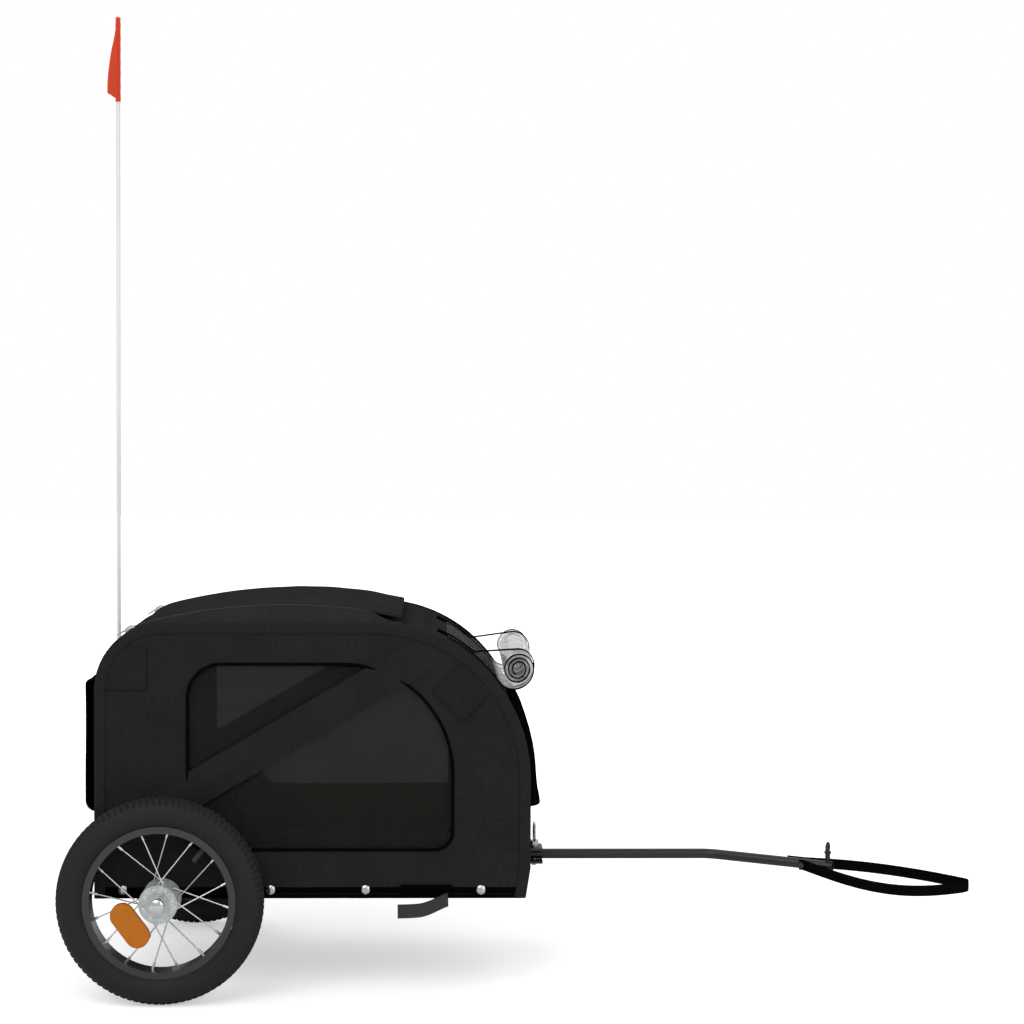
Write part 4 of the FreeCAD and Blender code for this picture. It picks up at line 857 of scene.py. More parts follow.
FRONT_DOOR = (288.0, 404.0)
DOOR_CORNER = 20.0
FRONT_FOOT = 149.0


def side_sheet(way, points, level_y, thickness, flat=None, ring=False):
    """Cloth in a side's plane: a grid of side-view points at a distance from the middle, facing out."""
    space = upright(points, way * level_y)
    return Mould().sheet(space, np.array([0.0, way, 0.0]), thickness, points if flat is None else flat, ring)


def side_panels(c):
    """Side panels: a ring of cloth between the cabin's outline and the window. It stands out from its plane by soft
    ripples, which die away at both edges."""
    points, share = ringed(rounded(cabin_corners(0.0)), window_outline(0.0), PANEL_MIDDLE, PANEL_RAYS, PANEL_RINGS)
    for side, way in SIDES:
        wave = c.pucker * hump(share) * ripple(points[..., 0], points[..., 1], PANEL_WAVE, PANEL_SEED + way)
        side_sheet(way, points, c.half_width + wave, PANEL_CLOTH, ring=True).cover(
            side + " side panel", "cover", "stretched", (side + "_side_panel",))


def sleeve_grid(rows):
    """Side-view points of the diagonal sleeve and its own coordinates along and across."""
    turn = math.radians(SLEEVE_ANGLE)
    across = np.linspace(-SLEEVE_HALF, SLEEVE_HALF, SLEEVE_COLUMNS)
    cut = (SLEEVE_REAR - SLEEVE_MIDDLE[0] + across * math.sin(turn)) / math.cos(turn)
    start = np.maximum(-SLEEVE_AFT, cut)
    along = start + (SLEEVE_FORE - start) * np.linspace(0, 1, rows)[:, None]
    flat = np.stack([along, np.broadcast_to(across, along.shape)], -1)
    return turned(flat, SLEEVE_ANGLE, SLEEVE_MIDDLE), flat


def sleeves(c):
    """Sleeve of the diagonal hoop: a strip whose crown follows the tube inside it, with slack wrinkles across."""
    points, flat = sleeve_grid(SLEEVE_CELLS)
    rest = 1 - (flat[..., 1] / SLEEVE_HALF) ** 2
    ease = smooth_step((SLEEVE_FORE - flat[..., 0]) / SLEEVE_EASE)
    crown = (SLEEVE_STAND + SLEEVE_CROWN * rest ** 2) * ease
    for side, way in SIDES:
        uneven = ripple(flat[..., 0], flat[..., 1] * SLEEVE_STRETCH, SLEEVE_WAVE, SLEEVE_SEED + way)
        slack = SLEEVE_SLACK * rest * uneven
        side_sheet(way, points, c.half_width + SEWN_GAP + crown + slack * ease, SLEEVE_CLOTH, flat).cover(
            side + " sleeve", "cover", "stretched")


def patch_grids(c):
    """Side-view points of the rear and the front reinforcing patch, which the binding's edge cuts off."""
    front = polar(arcs()[0], c.front_radius - PATCH_INSET, PATCH_ANGLE)
    edge = rounded(cabin_corners(PATCH_EDGE))
    return [filled(quad(middle, PATCH_SIZE, angle), middle, PATCH_CELLS, edge)[0]
            for middle, angle in ((PATCH_REAR, 0.0), (front, PATCH_ANGLE))]


def patches(c):
    """Reinforcing patches at the two upper corners, cut along the binding."""
    for side, way in SIDES:
        for name, points in zip(("rear", "front"), patch_grids(c)):
            uneven = PATCH_UNEVEN * ripple(points[..., 0], points[..., 1], PATCH_WAVE, PATCH_SEED + way)
            side_sheet(way, points, c.half_width + PATCH_STAND + uneven, PATCH_CLOTH).cover(
                f"{side} {name} patch", "patch", "stretched")


def window_nets(c):
    """Window net: fills the opening behind the panel, drawn slack towards the lower front corner."""
    points, share = filled(window_outline(NET_OVERLAP), PANEL_MIDDLE, NET_CELLS)
    away = points - np.array(NET_SLACK)
    slack = np.exp(-np.sum((away / np.array(NET_SLACK_SIZE)) ** 2, axis=-1))
    creases = slack * np.sin((away[..., 0] * NET_LEAN + away[..., 1]) / NET_CREASE) * NET_CREASE_HEIGHT
    wave = creases + NET_UNEVEN * (1 - share ** 4) * ripple(points[..., 0], points[..., 1], NET_WAVE, NET_SEED)
    level_y = c.half_width - PANEL_CLOTH - NET_INSET + np.minimum(wave, NET_HIGHEST)
    for side, way in SIDES:
        side_sheet(way, points, level_y, NET_CLOTH).cover(
            side + " window net", "net", "stretched", (side + "_window_mesh",), slot="mesh_fabric")


def closed_tube(outline, level_y, radius, sides):
    """Round tube along a closed side-view outline, at a level of Y."""
    ahead = unit(np.roll(outline, -1, axis=0) - np.roll(outline, 1, axis=0))
    normal = np.stack([-ahead[:, 1], ahead[:, 0]], -1)
    turn = np.linspace(0, 2 * np.pi, sides, endpoint=False)
    plane = outline[:, None] + normal[:, None] * radius * np.cos(turn)[None, :, None]
    return upright(plane, level_y + radius * np.sin(turn))


def window_piping(c):
    """Piping round each window: a round cord in tape along the window's outline."""
    outline = window_outline(PIPING_GROW)
    marks = run_lengths(outline)
    flat = lattice(marks, np.linspace(0, PIPING_CUT, PIPING_SIDES))
    for side, way in SIDES:
        points = closed_tube(outline, way * (c.half_width + SEWN_GAP), PIPING_RADIUS, PIPING_SIDES)
        tape = Mould().grid(points, flat, wrap=(True, True)).cover(side + " window piping", "piping")


def bindings(c):
    """Edge binding: tape folded over the cabin's edge, an L carried along the outline, with ribs across it."""
    track = cabin_track()
    distances = np.arange(0, track.length, BINDING_STEP)
    rib = BINDING_RIB_HEIGHT * np.sin(2 * np.pi * distances / BINDING_RIB)[:, None] * (BINDING[:, 1] > 1)[None]
    flat = lattice(distances, run_lengths(BINDING))
    for side, way in SIDES:
        points = sweep(track, BINDING, distances)
        points[..., 1] = way * (c.half_width + points[..., 1] + rib)
        Mould().grid(points, flat, wrap=(False, True), caps=True).cover(
            side + " binding", "binding", "folded", (side + "_binding",), slot="webbing_black")


def hems(c):
    """Hem strip along each panel's foot, doubled over, with a slightly uneven edge."""
    columns, rows = HEM_CELLS
    points = lattice(np.linspace(c.rear, c.front - TUCK, columns),
                     np.linspace(c.bottom, c.bottom + HEM_HEIGHT, rows))
    swell = HEM_SWELL * np.sin(np.pi * (points[..., 1] - c.bottom) / HEM_HEIGHT)
    bulge = HEM_STAND + swell + HEM_UNEVEN * ripple(points[..., 0], 0, HEM_WAVE, HEM_SEED)
    for side, way in SIDES:
        # The hem's near-black flap cloth is partly painted shade along the panel's foot.
        side_sheet(way, points, c.half_width + bulge, HEM_CLOTH).cover(side + " hem", "flap", "folded")


def inner_skirts(c):
    """Skirt of cloth inside each window's foot: its top edge sags a little in its middle."""
    x = np.linspace(*SKIRT_SPAN, SKIRT_CELLS[0])
    share = np.linspace(0, 1, SKIRT_CELLS[1])
    sag = SKIRT_SAG * np.sin(np.pi * (x - SKIRT_SPAN[0]) / np.ptp(SKIRT_SPAN))
    z = SKIRT_LOW + share * (SKIRT_HIGH - SKIRT_LOW - sag)[:, None]
    points = np.stack([np.broadcast_to(x[:, None], z.shape), z], -1)
    for side, way in SIDES:
        wave = SKIRT_UNEVEN * ripple(points[..., 0], points[..., 1], SKIRT_WAVE, SKIRT_SEED + way) * share
        side_sheet(way, points, c.half_width - SKIRT_INSET + wave, SKIRT_CLOTH).cover(
            side + " inner skirt", "cover", "hung")


def shell_piece(name, track, ends, hole, half, seed):
    """Wall of the cover: a strip of the cabin's path between two distances, with a round-cornered opening. Its
    points go out by soft ripples."""
    (start, end), (low, high) = ends, hole
    outer = np.array([(start, -SHELL_HALF), (end, -SHELL_HALF), (end, SHELL_HALF), (start, SHELL_HALF)])
    inner = rounded([(low, -half, DOOR_CORNER), (high, -half, DOOR_CORNER), (high, half, DOOR_CORNER),
                     (low, half, DOOR_CORNER)])
    flat, share = ringed(outer, inner, np.array([(low + high) / 2, 0.0]), SHELL_RAYS, SHELL_RINGS)
    lift = SHELL_UNEVEN * hump(share) * ripple(flat[..., 0], flat[..., 1], SHELL_WAVE, seed)
    # The walls and roof take the roof cloth, whose lighter purple tone is painted sheen.
    wide_sheet(*carried(track, flat, lift), SHELL_CLOTH, flat, ring=True).cover(name, "roof", "stretched", (name,))


def shells(c):
    """Rear wall, roof and front wall: one path over the cabin, cut at its two seams, which are taped."""
    track = cabin_track()
    rear, seam = track.where(1, REAR_SEAM), track.where(0, ROOF_SEAM)
    foot = track.where(1, FRONT_FOOT, late=True)
    shell_piece("rear_wall", track, (0.0, rear), [track.where(1, z) for z in REAR_DOOR], DOOR_HALF, REAR_SEED)
    shell_piece("roof_panel", track, (rear, seam), [track.where(0, x) for x in HATCH], HATCH_HALF, ROOF_SEED)
    doors = [track.where(1, z, late=True) for z in FRONT_DOOR]
    shell_piece("front_wall", track, (seam, foot), sorted(doors), DOOR_HALF, FRONT_SEED)
    for name, place in (("rear", rear), ("roof", seam)):
        flat = lattice(np.linspace(place - SEAM_HALF, place + SEAM_HALF, SEAM_CELLS[0]),
                       np.linspace(-SHELL_HALF, SHELL_HALF, SEAM_CELLS[1]))
        lift = SEAM_LIFT * np.cos(np.pi * (flat[..., 0] - place) / SEAM_BOW)
        wide_sheet(*carried(track, flat, lift), SEAM_CLOTH, flat).cover(name + " seam tape", "binding", "stretched")


# Flaps and zips

FLAP_CLOTH = 4.0
FLAP_GAP = 0.3
FLAP_FREE, FLAP_FLAT_EDGE = 40, 12
FLAP_STRETCH, FLAP_WAVE = 0.6, 85.0
FLAP_THREAD_COLUMNS, FLAP_THREAD_ROW, FLAP_THREAD = (3, -4), -5, 0.05
TURNED_HEM, HEM_WIDTH = 0.7, 11.0
ROOF_FLAP = (-50.0, 345.0)
ROOF_FLAP_HALF = 152.0
ROOF_FLAP_LIFT = 8.0
ROOF_FLAP_ANGLES = (14.0, 20.0)
ROOF_FLAP_GRID = (150, 110)
ROOF_BEND = 5
ROOF_FULL, ROOF_FULL_START, ROOF_FULL_RUN = 7.0, 0.35, 0.6
ROOF_UNEVEN, ROOF_WAVE, ROOF_FLAP_SEED, ROOF_CALM = 0.9, 95.0, 31, 30
ROOF_THREAD_INSETS, ROOF_THREAD_START, ROOF_THREAD_END = (4, 6), 6, 4
FRONT_FLAP_HALF = 150.0
FRONT_FLAP_GRID, FRONT_FLAP_UNEVEN, FRONT_FLAP_SEED = (100, 120), 0.5, 41
FRONT_FLAP_ANGLE = 28.0
FRONT_FLAP_DROP, FRONT_FLAP_STEPS = math.radians(30.0) * 90.0, 30
FRONT_STAND = (0.0, 7.5, 9.0, 9.2, 9.2, 9.4, 9.8, 10.8, 12.4, 14.6, 17.0)
REAR_FLAP_HALF = 142.0
REAR_FLAP_GRID, REAR_FLAP_UNEVEN, REAR_FLAP_SEED = (110, 100), 0.9, 43
REAR_FLAP = (262.0, 459.0)
REAR_FLAP_DEPTH = 23.0
REAR_FLAP_CORNERS = (14.0, 6.0)
REAR_FLAP_STEP = 2
ZIP_INNER, ZIP_FOOT = 153.0, 184.0
ZIP_UNDER, ZIP_END, ZIP_FALL = 2.4, 8, 45
ZIP_STAND, ZIP_LEAST, ZIP_LEAN = 0.8, 0.3, 0.5
ZIP_WIDTH, ZIP_CLOTH, ZIP_COLUMNS = 36, 1.0, 14
TOOTH = np.array([(-1, -1, 0), (1, -1, 0), (1, 1, 0), (-1, 1, 0), (-0.7, -0.8, 1), (0.7, -0.8, 1), (0.7, 0.8, 1),
                  (-0.7, 0.8, 1)], float)
TOOTH_FACES = ((3, 2, 1, 0), (4, 5, 6, 7), (0, 1, 5, 4), (1, 2, 6, 5), (2, 3, 7, 6), (3, 0, 4, 7))
TOOTH_START, TOOTH_PITCH, TOOTH_SUNK = 2, 2.6, 0.2
TOOTH_LONG, TOOTH_WIDE, TOOTH_HIGH = 0.85, 2.2, 1.3
SLIDER_X, SLIDER_Y = -52.0, 158.0
SLIDER_BODY, SLIDER_BODY_Z = (17, 11, 6), 3.0
SLIDER_BRIDGE, SLIDER_BRIDGE_Z = (11, 4.4, 3.2), 6.6
PULL_PLACE = np.array([-13, 0, 5.4])
PULL_RADIUS, PULL_REACH, PULL_HALF, PULL_THICK, PULL_HOLE = 12, 8, 4.4, 1.2, 0.4
PULL_POINTS = 40


def hem_rise(edge):
    """Height of a turned hem over the cloth's own face, by the distance from the edge: none on the hem, and a hem's
    thickness lower on the cloth inside it."""
    return TURNED_HEM * (1 - smooth_step((edge - HEM_WIDTH + 1) / 2)) - TURNED_HEM


def roof_flap_grid(c):
    """Outer face of the roof flap, with its normals and flat coordinates: along the rear curve to an angle that
    grows towards the middle, and from there on one arc to the front edge."""
    rows, columns = ROOF_FLAP_GRID
    front_arc, rear_arc = arcs()
    under = c.rear_radius + FLAP_GAP
    y = np.linspace(-ROOF_FLAP_HALF, ROOF_FLAP_HALF, columns)
    edge, mid = ROOF_FLAP_ANGLES
    slope = np.radians(90 + edge + (mid - edge) * (1 - (y / ROOF_FLAP_HALF) ** 2))
    first = math.pi / 2 + math.asin((rear_arc[0] - ROOF_FLAP[0]) / under)
    outward = np.stack([np.cos(slope), np.sin(slope)], -1)
    leave = np.array(rear_arc) + under * outward
    roof = front_arc[1] + math.sqrt(c.front_radius ** 2 - (ROOF_FLAP[1] - front_arc[0]) ** 2)
    front = np.array([ROOF_FLAP[1], roof + ROOF_FLAP_LIFT])
    chord = front - leave
    radius = -np.sum(chord ** 2, -1) / (2 * np.sum(chord * outward, -1))
    centre = leave - radius[:, None] * outward
    end = np.arctan2(front[1] - centre[:, 1], front[0] - centre[:, 0])
    share = np.linspace(0, 1, rows)[:, None] * ROOF_BEND
    bent = first + (slope - first) * np.minimum(share, 1)
    swept = slope + (end - slope) * np.clip((share - 1) / (ROOF_BEND - 1), 0, 1)
    on_curve = np.stack([rear_arc[0] + (under + FLAP_CLOTH) * np.cos(bent),
                         rear_arc[1] + (under + FLAP_CLOTH) * np.sin(bent)], -1)
    on_arc = np.stack([centre[:, 0] + (radius + FLAP_CLOTH) * np.cos(swept),
                       centre[:, 1] + (radius + FLAP_CLOTH) * np.sin(swept)], -1)
    early = (share <= 1) & np.ones(columns, bool)
    plane = np.where(early[..., None], on_curve, on_arc)
    angle = np.where(early, bent, swept)
    run = run_lengths(plane[:, columns // 2])
    normal = np.stack([np.cos(angle), np.zeros(angle.shape), np.sin(angle)], -1)
    return upright(plane, y), normal, lattice(run, y)


def roof_flap(c):
    """Roof flap: crowned along and across, fullest towards its front, with turned hems on three edges."""
    points, normal, flat = roof_flap_grid(c)
    length = flat[-1, 0, 0]
    edge = np.minimum(ROOF_FLAP_HALF - np.abs(flat[..., 1]), length - flat[..., 0])
    along = smooth_step((flat[..., 0] / length - ROOF_FULL_START) / ROOF_FULL_RUN)
    full = ROOF_FULL * (1 - (flat[..., 1] / ROOF_FLAP_HALF) ** 2) * along
    wave = ROOF_UNEVEN * ripple(flat[..., 0], flat[..., 1], ROOF_WAVE, ROOF_FLAP_SEED) * smooth_step(edge / ROOF_CALM)
    points = points + normal * (hem_rise(edge) + wave + full)[..., None]
    # The roof flap takes the roof cloth, whose lighter purple tone is painted sheen.
    Mould().sheet(points, normal, FLAP_CLOTH - TURNED_HEM, flat).cover(
        "roof flap", "roof", "stretched", ("roof_flap",), "roof_flap")
    mould = Mould()
    for inset in ROOF_THREAD_INSETS:
        for column in (inset, -1 - inset):
            stitches(mould, points[ROOF_THREAD_START:, column], normal[ROOF_THREAD_START:, column])
    ends = slice(ROOF_THREAD_END, -ROOF_THREAD_END)
    stitches(mould, points[-ROOF_THREAD_END, ends], normal[-ROOF_THREAD_END, ends])
    mould.cover("roof flap stitches", "thread", body="roof_flap")


def strip_flap(name, track, half, grid, wave, seed, facing=1.0, stand=(0.0, 0.0)):
    """Flap cut as a rectangle and carried along a path: its hems are turned on three edges, its face is uneven by
    ripples that grow towards the free end, and its middle stands off the path further than its side edges."""
    flat = lattice(np.linspace(0, track.length, grid[0]), np.linspace(-half, half, grid[1]))
    run, across = flat[..., 0], flat[..., 1]
    edge = np.minimum(half - np.abs(across), track.length - run)
    uneven = wave * smooth_step(run / FLAP_FREE) * ripple(run * FLAP_STRETCH, across, FLAP_WAVE, seed)
    off = np.interp(run / track.length, np.linspace(0, 1, len(stand)), stand)
    off = off * (1 - np.abs(across / half) ** FLAP_FLAT_EDGE)
    plane, normal = carried(track, flat, hem_rise(edge) + uneven + FLAP_CLOTH / 2 + off, facing)
    # The near-black flap cloth is partly painted shade, most of all on the rear flap.
    wide_sheet(plane, normal, FLAP_CLOTH - TURNED_HEM, flat).cover(name, "flap", "hung", (name,), name)
    out = upright(normal, 0.0)
    thread = upright(plane, across) + out * FLAP_THREAD
    mould = Mould()
    for column in FLAP_THREAD_COLUMNS:
        stitches(mould, thread[:, column], out[:, column])
    stitches(mould, thread[FLAP_THREAD_ROW], out[FLAP_THREAD_ROW])
    mould.cover(name + " stitches", "thread", body=name)


def front_flap(c):
    """Front flap: down the front curve from under the roll and on below it, standing off the wall most at its hem."""
    front_arc, _ = arcs()
    radius = c.front_radius + FLAP_GAP + FLAP_CLOTH / 2
    foot = polar(front_arc, radius, 0) - np.array([0, FRONT_FLAP_DROP])
    curve = arc(front_arc, radius, FRONT_FLAP_ANGLE, 0)
    path = np.concatenate([curve, np.linspace(curve[-1], foot, FRONT_FLAP_STEPS)[1:]])
    strip_flap("front_flap", Track(path), FRONT_FLAP_HALF, FRONT_FLAP_GRID, FRONT_FLAP_UNEVEN, FRONT_FLAP_SEED,
               stand=FRONT_STAND)


def rear_flap(c):
    """Rear flap: out from the wall at the top, down, and back in at the bottom, with soft corners."""
    half = FLAP_CLOTH / 2
    wall, out = c.rear - FLAP_GAP, c.rear - REAR_FLAP_DEPTH + half
    low, high = REAR_FLAP[0] + half, REAR_FLAP[1] - half
    foot, head = REAR_FLAP_CORNERS
    path = np.concatenate([[(wall, high)], arc((out + head, high - head), head, 90, 180),
                           arc((out + foot, low + foot), foot, 180, 270), [(wall, low)]])
    strip_flap("rear_flap", divided(path, REAR_FLAP_STEP), REAR_FLAP_HALF, REAR_FLAP_GRID, REAR_FLAP_UNEVEN,
               REAR_FLAP_SEED, facing=-1.0)


def roof_height(c, x):
    """Height of the roof's outline over a place: two arcs with a level run between them."""
    front_arc, rear_arc = arcs()
    rear = np.sqrt(np.maximum(c.rear_radius ** 2 - (x - rear_arc[0]) ** 2, 0)) + rear_arc[1]
    front = np.sqrt(np.maximum(c.front_radius ** 2 - (x - front_arc[0]) ** 2, 0)) + front_arc[1]
    return np.where(x < rear_arc[0], rear, np.where(x > front_arc[0], front, c.top))


def zips(c):
    """Zip strips beside the roof flap: cloth that climbs in a round curve from the roof's edge to the flap's edge,
    and comes down again at the front. A row of teeth runs along its crest."""
    points, normal, _ = roof_flap_grid(c)
    x, out = points[:, 0, 0], normal[:, 0]
    roof = roof_height(c, x)
    rise = (points[:, 0, 2] - ZIP_UNDER - roof) * smooth_step((ROOF_FLAP[1] - ZIP_END - x) / ZIP_FALL)
    climb = np.linspace(0, 1, ZIP_COLUMNS)
    lift = ZIP_STAND + np.maximum(rise, ZIP_LEAST)[:, None] * np.sin(climb * np.pi / 2)
    plane = np.stack([np.broadcast_to(x[:, None], lift.shape), roof[:, None] + lift], -1)
    flat = lattice(x, climb * ZIP_WIDTH)
    for side, way in SIDES:
        space = upright(plane, way * (ZIP_FOOT + (ZIP_INNER - ZIP_FOOT) * climb))
        up = unit(out + np.array([0, ZIP_LEAN * way, 0]))[:, None]
        # The strips' lighter cloth is painted sheen.
        Mould().sheet(space, up, ZIP_CLOTH, flat).cover(side + " zip strip", "strip", "stretched")
        line = space[:, -1]
        marks = run_lengths(line)
        spots = np.arange(TOOTH_START, marks[-1], TOOTH_PITCH)
        high = picked(spots, marks, out)
        along = np.cross(np.array([0.0, 1.0, 0.0]), high)
        aside = np.broadcast_to(np.array([0.0, TOOTH_WIDE, 0.0]), high.shape)
        axes = np.stack([along * TOOTH_LONG, aside, high * TOOTH_HIGH], 1)
        teeth = Mould().scatter(TOOTH, TOOTH_FACES, picked(spots, marks, line) - high * TOOTH_SUNK, axes)
        teeth.cover(side + " zip teeth", "zip")


def pillow(size, power=5.0, count=16):
    """Box with soft edges: a sphere's directions pushed out until the sum of the powers of its coordinates is one."""
    tall, round_it = np.meshgrid(np.linspace(0, np.pi, count), np.linspace(0, 2 * np.pi, 2 * count, endpoint=False),
                                 indexing="ij")
    way = np.stack([np.sin(tall) * np.cos(round_it), np.sin(tall) * np.sin(round_it), np.cos(tall)], -1)
    way /= np.sum(np.abs(way) ** power, -1, keepdims=True) ** (1 / power)
    return way * np.array(size) / 2


def zip_sliders(c):
    """Zip sliders: a soft-edged body with a bridge and a flat pull with a hole, lying back along the roof's slope."""
    _, rear_arc = arcs()
    slope = math.asin((rear_arc[0] - SLIDER_X) / c.rear_radius)
    foot = np.array([SLIDER_X, 0, rear_arc[1] + c.rear_radius * math.cos(slope) + FLAP_GAP])
    turn = np.array([(math.cos(slope), 0, math.sin(slope)), (0, 1, 0), (-math.sin(slope), 0, math.cos(slope))])
    around = np.linspace(0, 2 * np.pi, PULL_POINTS, endpoint=False)
    edge = np.stack([np.clip(PULL_RADIUS * np.cos(around), -PULL_REACH, PULL_REACH), PULL_HALF * np.sin(around)], -1)
    rims = ((1, -PULL_THICK), (1, PULL_THICK), (PULL_HOLE, PULL_THICK), (PULL_HOLE, -PULL_THICK))
    pull = np.stack([level(edge * share, np.full(PULL_POINTS, z)) for share, z in rims], 1)
    mould = Mould()
    for _, way in SIDES:
        middle = foot + np.array([0, way * SLIDER_Y, 0])
        for size, z in ((SLIDER_BODY, SLIDER_BODY_Z), (SLIDER_BRIDGE, SLIDER_BRIDGE_Z)):
            mould.grid((pillow(size) + np.array([0, 0, z])) @ turn + middle, wrap=(False, True))
        mould.grid((pull + PULL_PLACE) @ turn + middle, wrap=(True, True))
    mould.cover("zip sliders", "plated", replaces=("zip_sliders",), slot="bolt_steel")


# Rolled cover

ROLL_SHEET = 1.2
ROLL_HALF = 143.0
ROLL_RADIUS = 25.5
ROLL_PITCH = 5.8
ROLL_TURNS = 3.1
ROLL_LOOSE, ROLL_LOOSE_TURN = 8.0, 70
ROLL_OVAL, ROLL_OVAL_START, ROLL_OVAL_EASE = 0.5, 40, 60
ROLL_ANGLE = 36.2
ROLL_TAIL_ANGLE = 62.0
ROLL_WAVE, ROLL_SEED, ROLL_EASE = 60.0, 51, 40
ROLL_ROWS, ROLL_START = 420, 4
FAR_GROWTH, FAR_SHIFT = 0.1, np.array([2.0, 5.0])
FILM_INSET, FILM_CLOTH, FILM_UNEVEN, FILM_COLUMNS = 3, 0.8, 0.6, 70
EDGE_WIDTH, EDGE_CLOTH, EDGE_COLUMNS = 5, 1.8, 5
STRAP_CLOTH = 1.5
STRAP_PLACE, STRAP_HALF = 99.0, 5.0
STRAP_WRAP, STRAP_EASE = (6, 237), 8
STRAP_CELLS, STRAP_STEPS, STRAP_LEVEL_STEPS = (300, 9), 120, 40
STRAP_OFF, STRAP_OVER = 2.2, 2.4
STRAP_TOP, STRAP_LAND = 66.0, 50.0
STRAP_RIB, STRAP_RIB_HEIGHT = 2.5, 0.12


def roll_shape(c):
    """Tail and coil of the rolled cover: the tail runs down the front curve, and the coil shrinks steadily by an
    angle, with a loose first turn. Gives the tail's path, the coil's middle and the coil's path by its angle."""
    front_arc, _ = arcs()
    tail = c.front_radius + 2 * FLAP_GAP + STRAP_CLOTH + ROLL_SHEET / 2
    middle = polar(front_arc, tail + ROLL_RADIUS + ROLL_LOOSE, ROLL_ANGLE)

    def coil(wound, off=0.0):
        steady = ROLL_RADIUS - ROLL_PITCH * wound / 360
        loose = ROLL_LOOSE * np.exp(-(wound / ROLL_LOOSE_TURN) ** 2)
        oval = ROLL_OVAL * np.sin(np.radians(2 * wound + ROLL_OVAL_START)) * (1 - np.exp(-wound / ROLL_OVAL_EASE))
        return polar(middle, steady + loose + oval + off, ROLL_ANGLE + 180 + wound)

    return arc(front_arc, tail, ROLL_TAIL_ANGLE, ROLL_ANGLE), middle, coil


def far_slack(plane, y, middle, share):
    """The roll is looser towards its far end: its points go out from the middle and up, by a share."""
    away = ((y + ROLL_HALF) / (2 * ROLL_HALF) * share)[..., None]
    return plane + away * (FAR_GROWTH * (plane - middle) + FAR_SHIFT)


def rolled_cover(c):
    """Rolled rain cover: clear film in a tail and a coil, with slack ripples. Black tape binds its side edges."""
    tail, middle, coil = roll_shape(c)
    track = Track(np.concatenate([tail, coil(np.linspace(ROLL_START, ROLL_TURNS * 360, ROLL_ROWS))]))
    start = Track(tail).length
    run = np.linspace(0, track.length, ROLL_ROWS)

    def strip(low, high, columns, thickness, wave):
        flat = lattice(run, np.linspace(low, high, columns))
        lift = thickness / 2 + wave * ripple(flat[..., 0], flat[..., 1], ROLL_WAVE, ROLL_SEED)
        plane, normal = carried(track, flat, lift)
        plane = far_slack(plane, flat[..., 1], middle, smooth_step((flat[..., 0] - start) / ROLL_EASE))
        return upright(plane, flat[..., 1]), upright(normal, 0.0), thickness, flat

    half = ROLL_HALF - FILM_INSET
    film = Mould().sheet(*strip(-half, half, FILM_COLUMNS, FILM_CLOTH, FILM_UNEVEN)).cover(
        "rolled cover", "film", replaces=("rolled_cover",), slot="clear_sheet")
    tapes = Mould().sheet(*strip(ROLL_HALF - EDGE_WIDTH, ROLL_HALF, EDGE_COLUMNS, EDGE_CLOTH, 0.0))
    tapes.sheet(*strip(-ROLL_HALF, -ROLL_HALF + EDGE_WIDTH, EDGE_COLUMNS, EDGE_CLOTH, 0.0))
    bound = tapes.cover("rolled cover edges", "webbing", slot="webbing_black")


def roll_straps(c):
    """Elastic straps: under the tail from the seam, round the roll, level to the front curve and up it to the seam."""
    front_arc, _ = arcs()
    _, middle, coil = roll_shape(c)
    inner = c.front_radius + FLAP_GAP + STRAP_CLOTH / 2
    wrap = coil(np.linspace(*STRAP_WRAP, STRAP_STEPS), STRAP_OFF)
    ease = smooth_step(np.linspace(0, STRAP_EASE, STRAP_STEPS))
    over = arc(front_arc, inner + STRAP_OVER, STRAP_LAND, STRAP_TOP)
    for side, way in SIDES:
        held = far_slack(wrap, way * STRAP_PLACE, middle, ease)
        level_run = np.linspace(held[-1], over[0], STRAP_LEVEL_STEPS)[1:-1]
        track = Track(np.concatenate([arc(front_arc, inner, STRAP_TOP, ROLL_ANGLE), held, level_run, over]))
        across = np.linspace(STRAP_PLACE - STRAP_HALF, STRAP_PLACE + STRAP_HALF, STRAP_CELLS[1])
        flat = lattice(np.linspace(0, track.length, STRAP_CELLS[0]), across)
        rib = STRAP_RIB_HEIGHT * np.cos(2 * np.pi * (flat[..., 1] - across[0]) / STRAP_RIB)
        plane, normal = carried(track, flat, STRAP_CLOTH / 2 + rib)
        Mould().sheet(upright(plane, way * flat[..., 1]), upright(normal, 0.0), STRAP_CLOTH, flat).cover(
            side + " roll strap", "elastic", "stretched", ("roll_straps",) if way < 0 else (), slot="webbing_black")


# Stitches

BINDING_ROWS, BINDING_THREAD, BINDING_ROW_END, BINDING_ROW_STEPS = (-11.5, -3.0), 2.7, 10, 600
SLEEVE_ROWS, SLEEVE_THREAD = (2, -3), 2.2
WINDOW_ROW, WINDOW_THREAD = 7.0, 0.3
HEM_ROW, HEM_THREAD, HEM_ROW_ENDS, HEM_ROW_STEPS = 7.0, 2.5, (8, 12), 300
PATCH_ROW, PATCH_THREAD = 2, 2.5


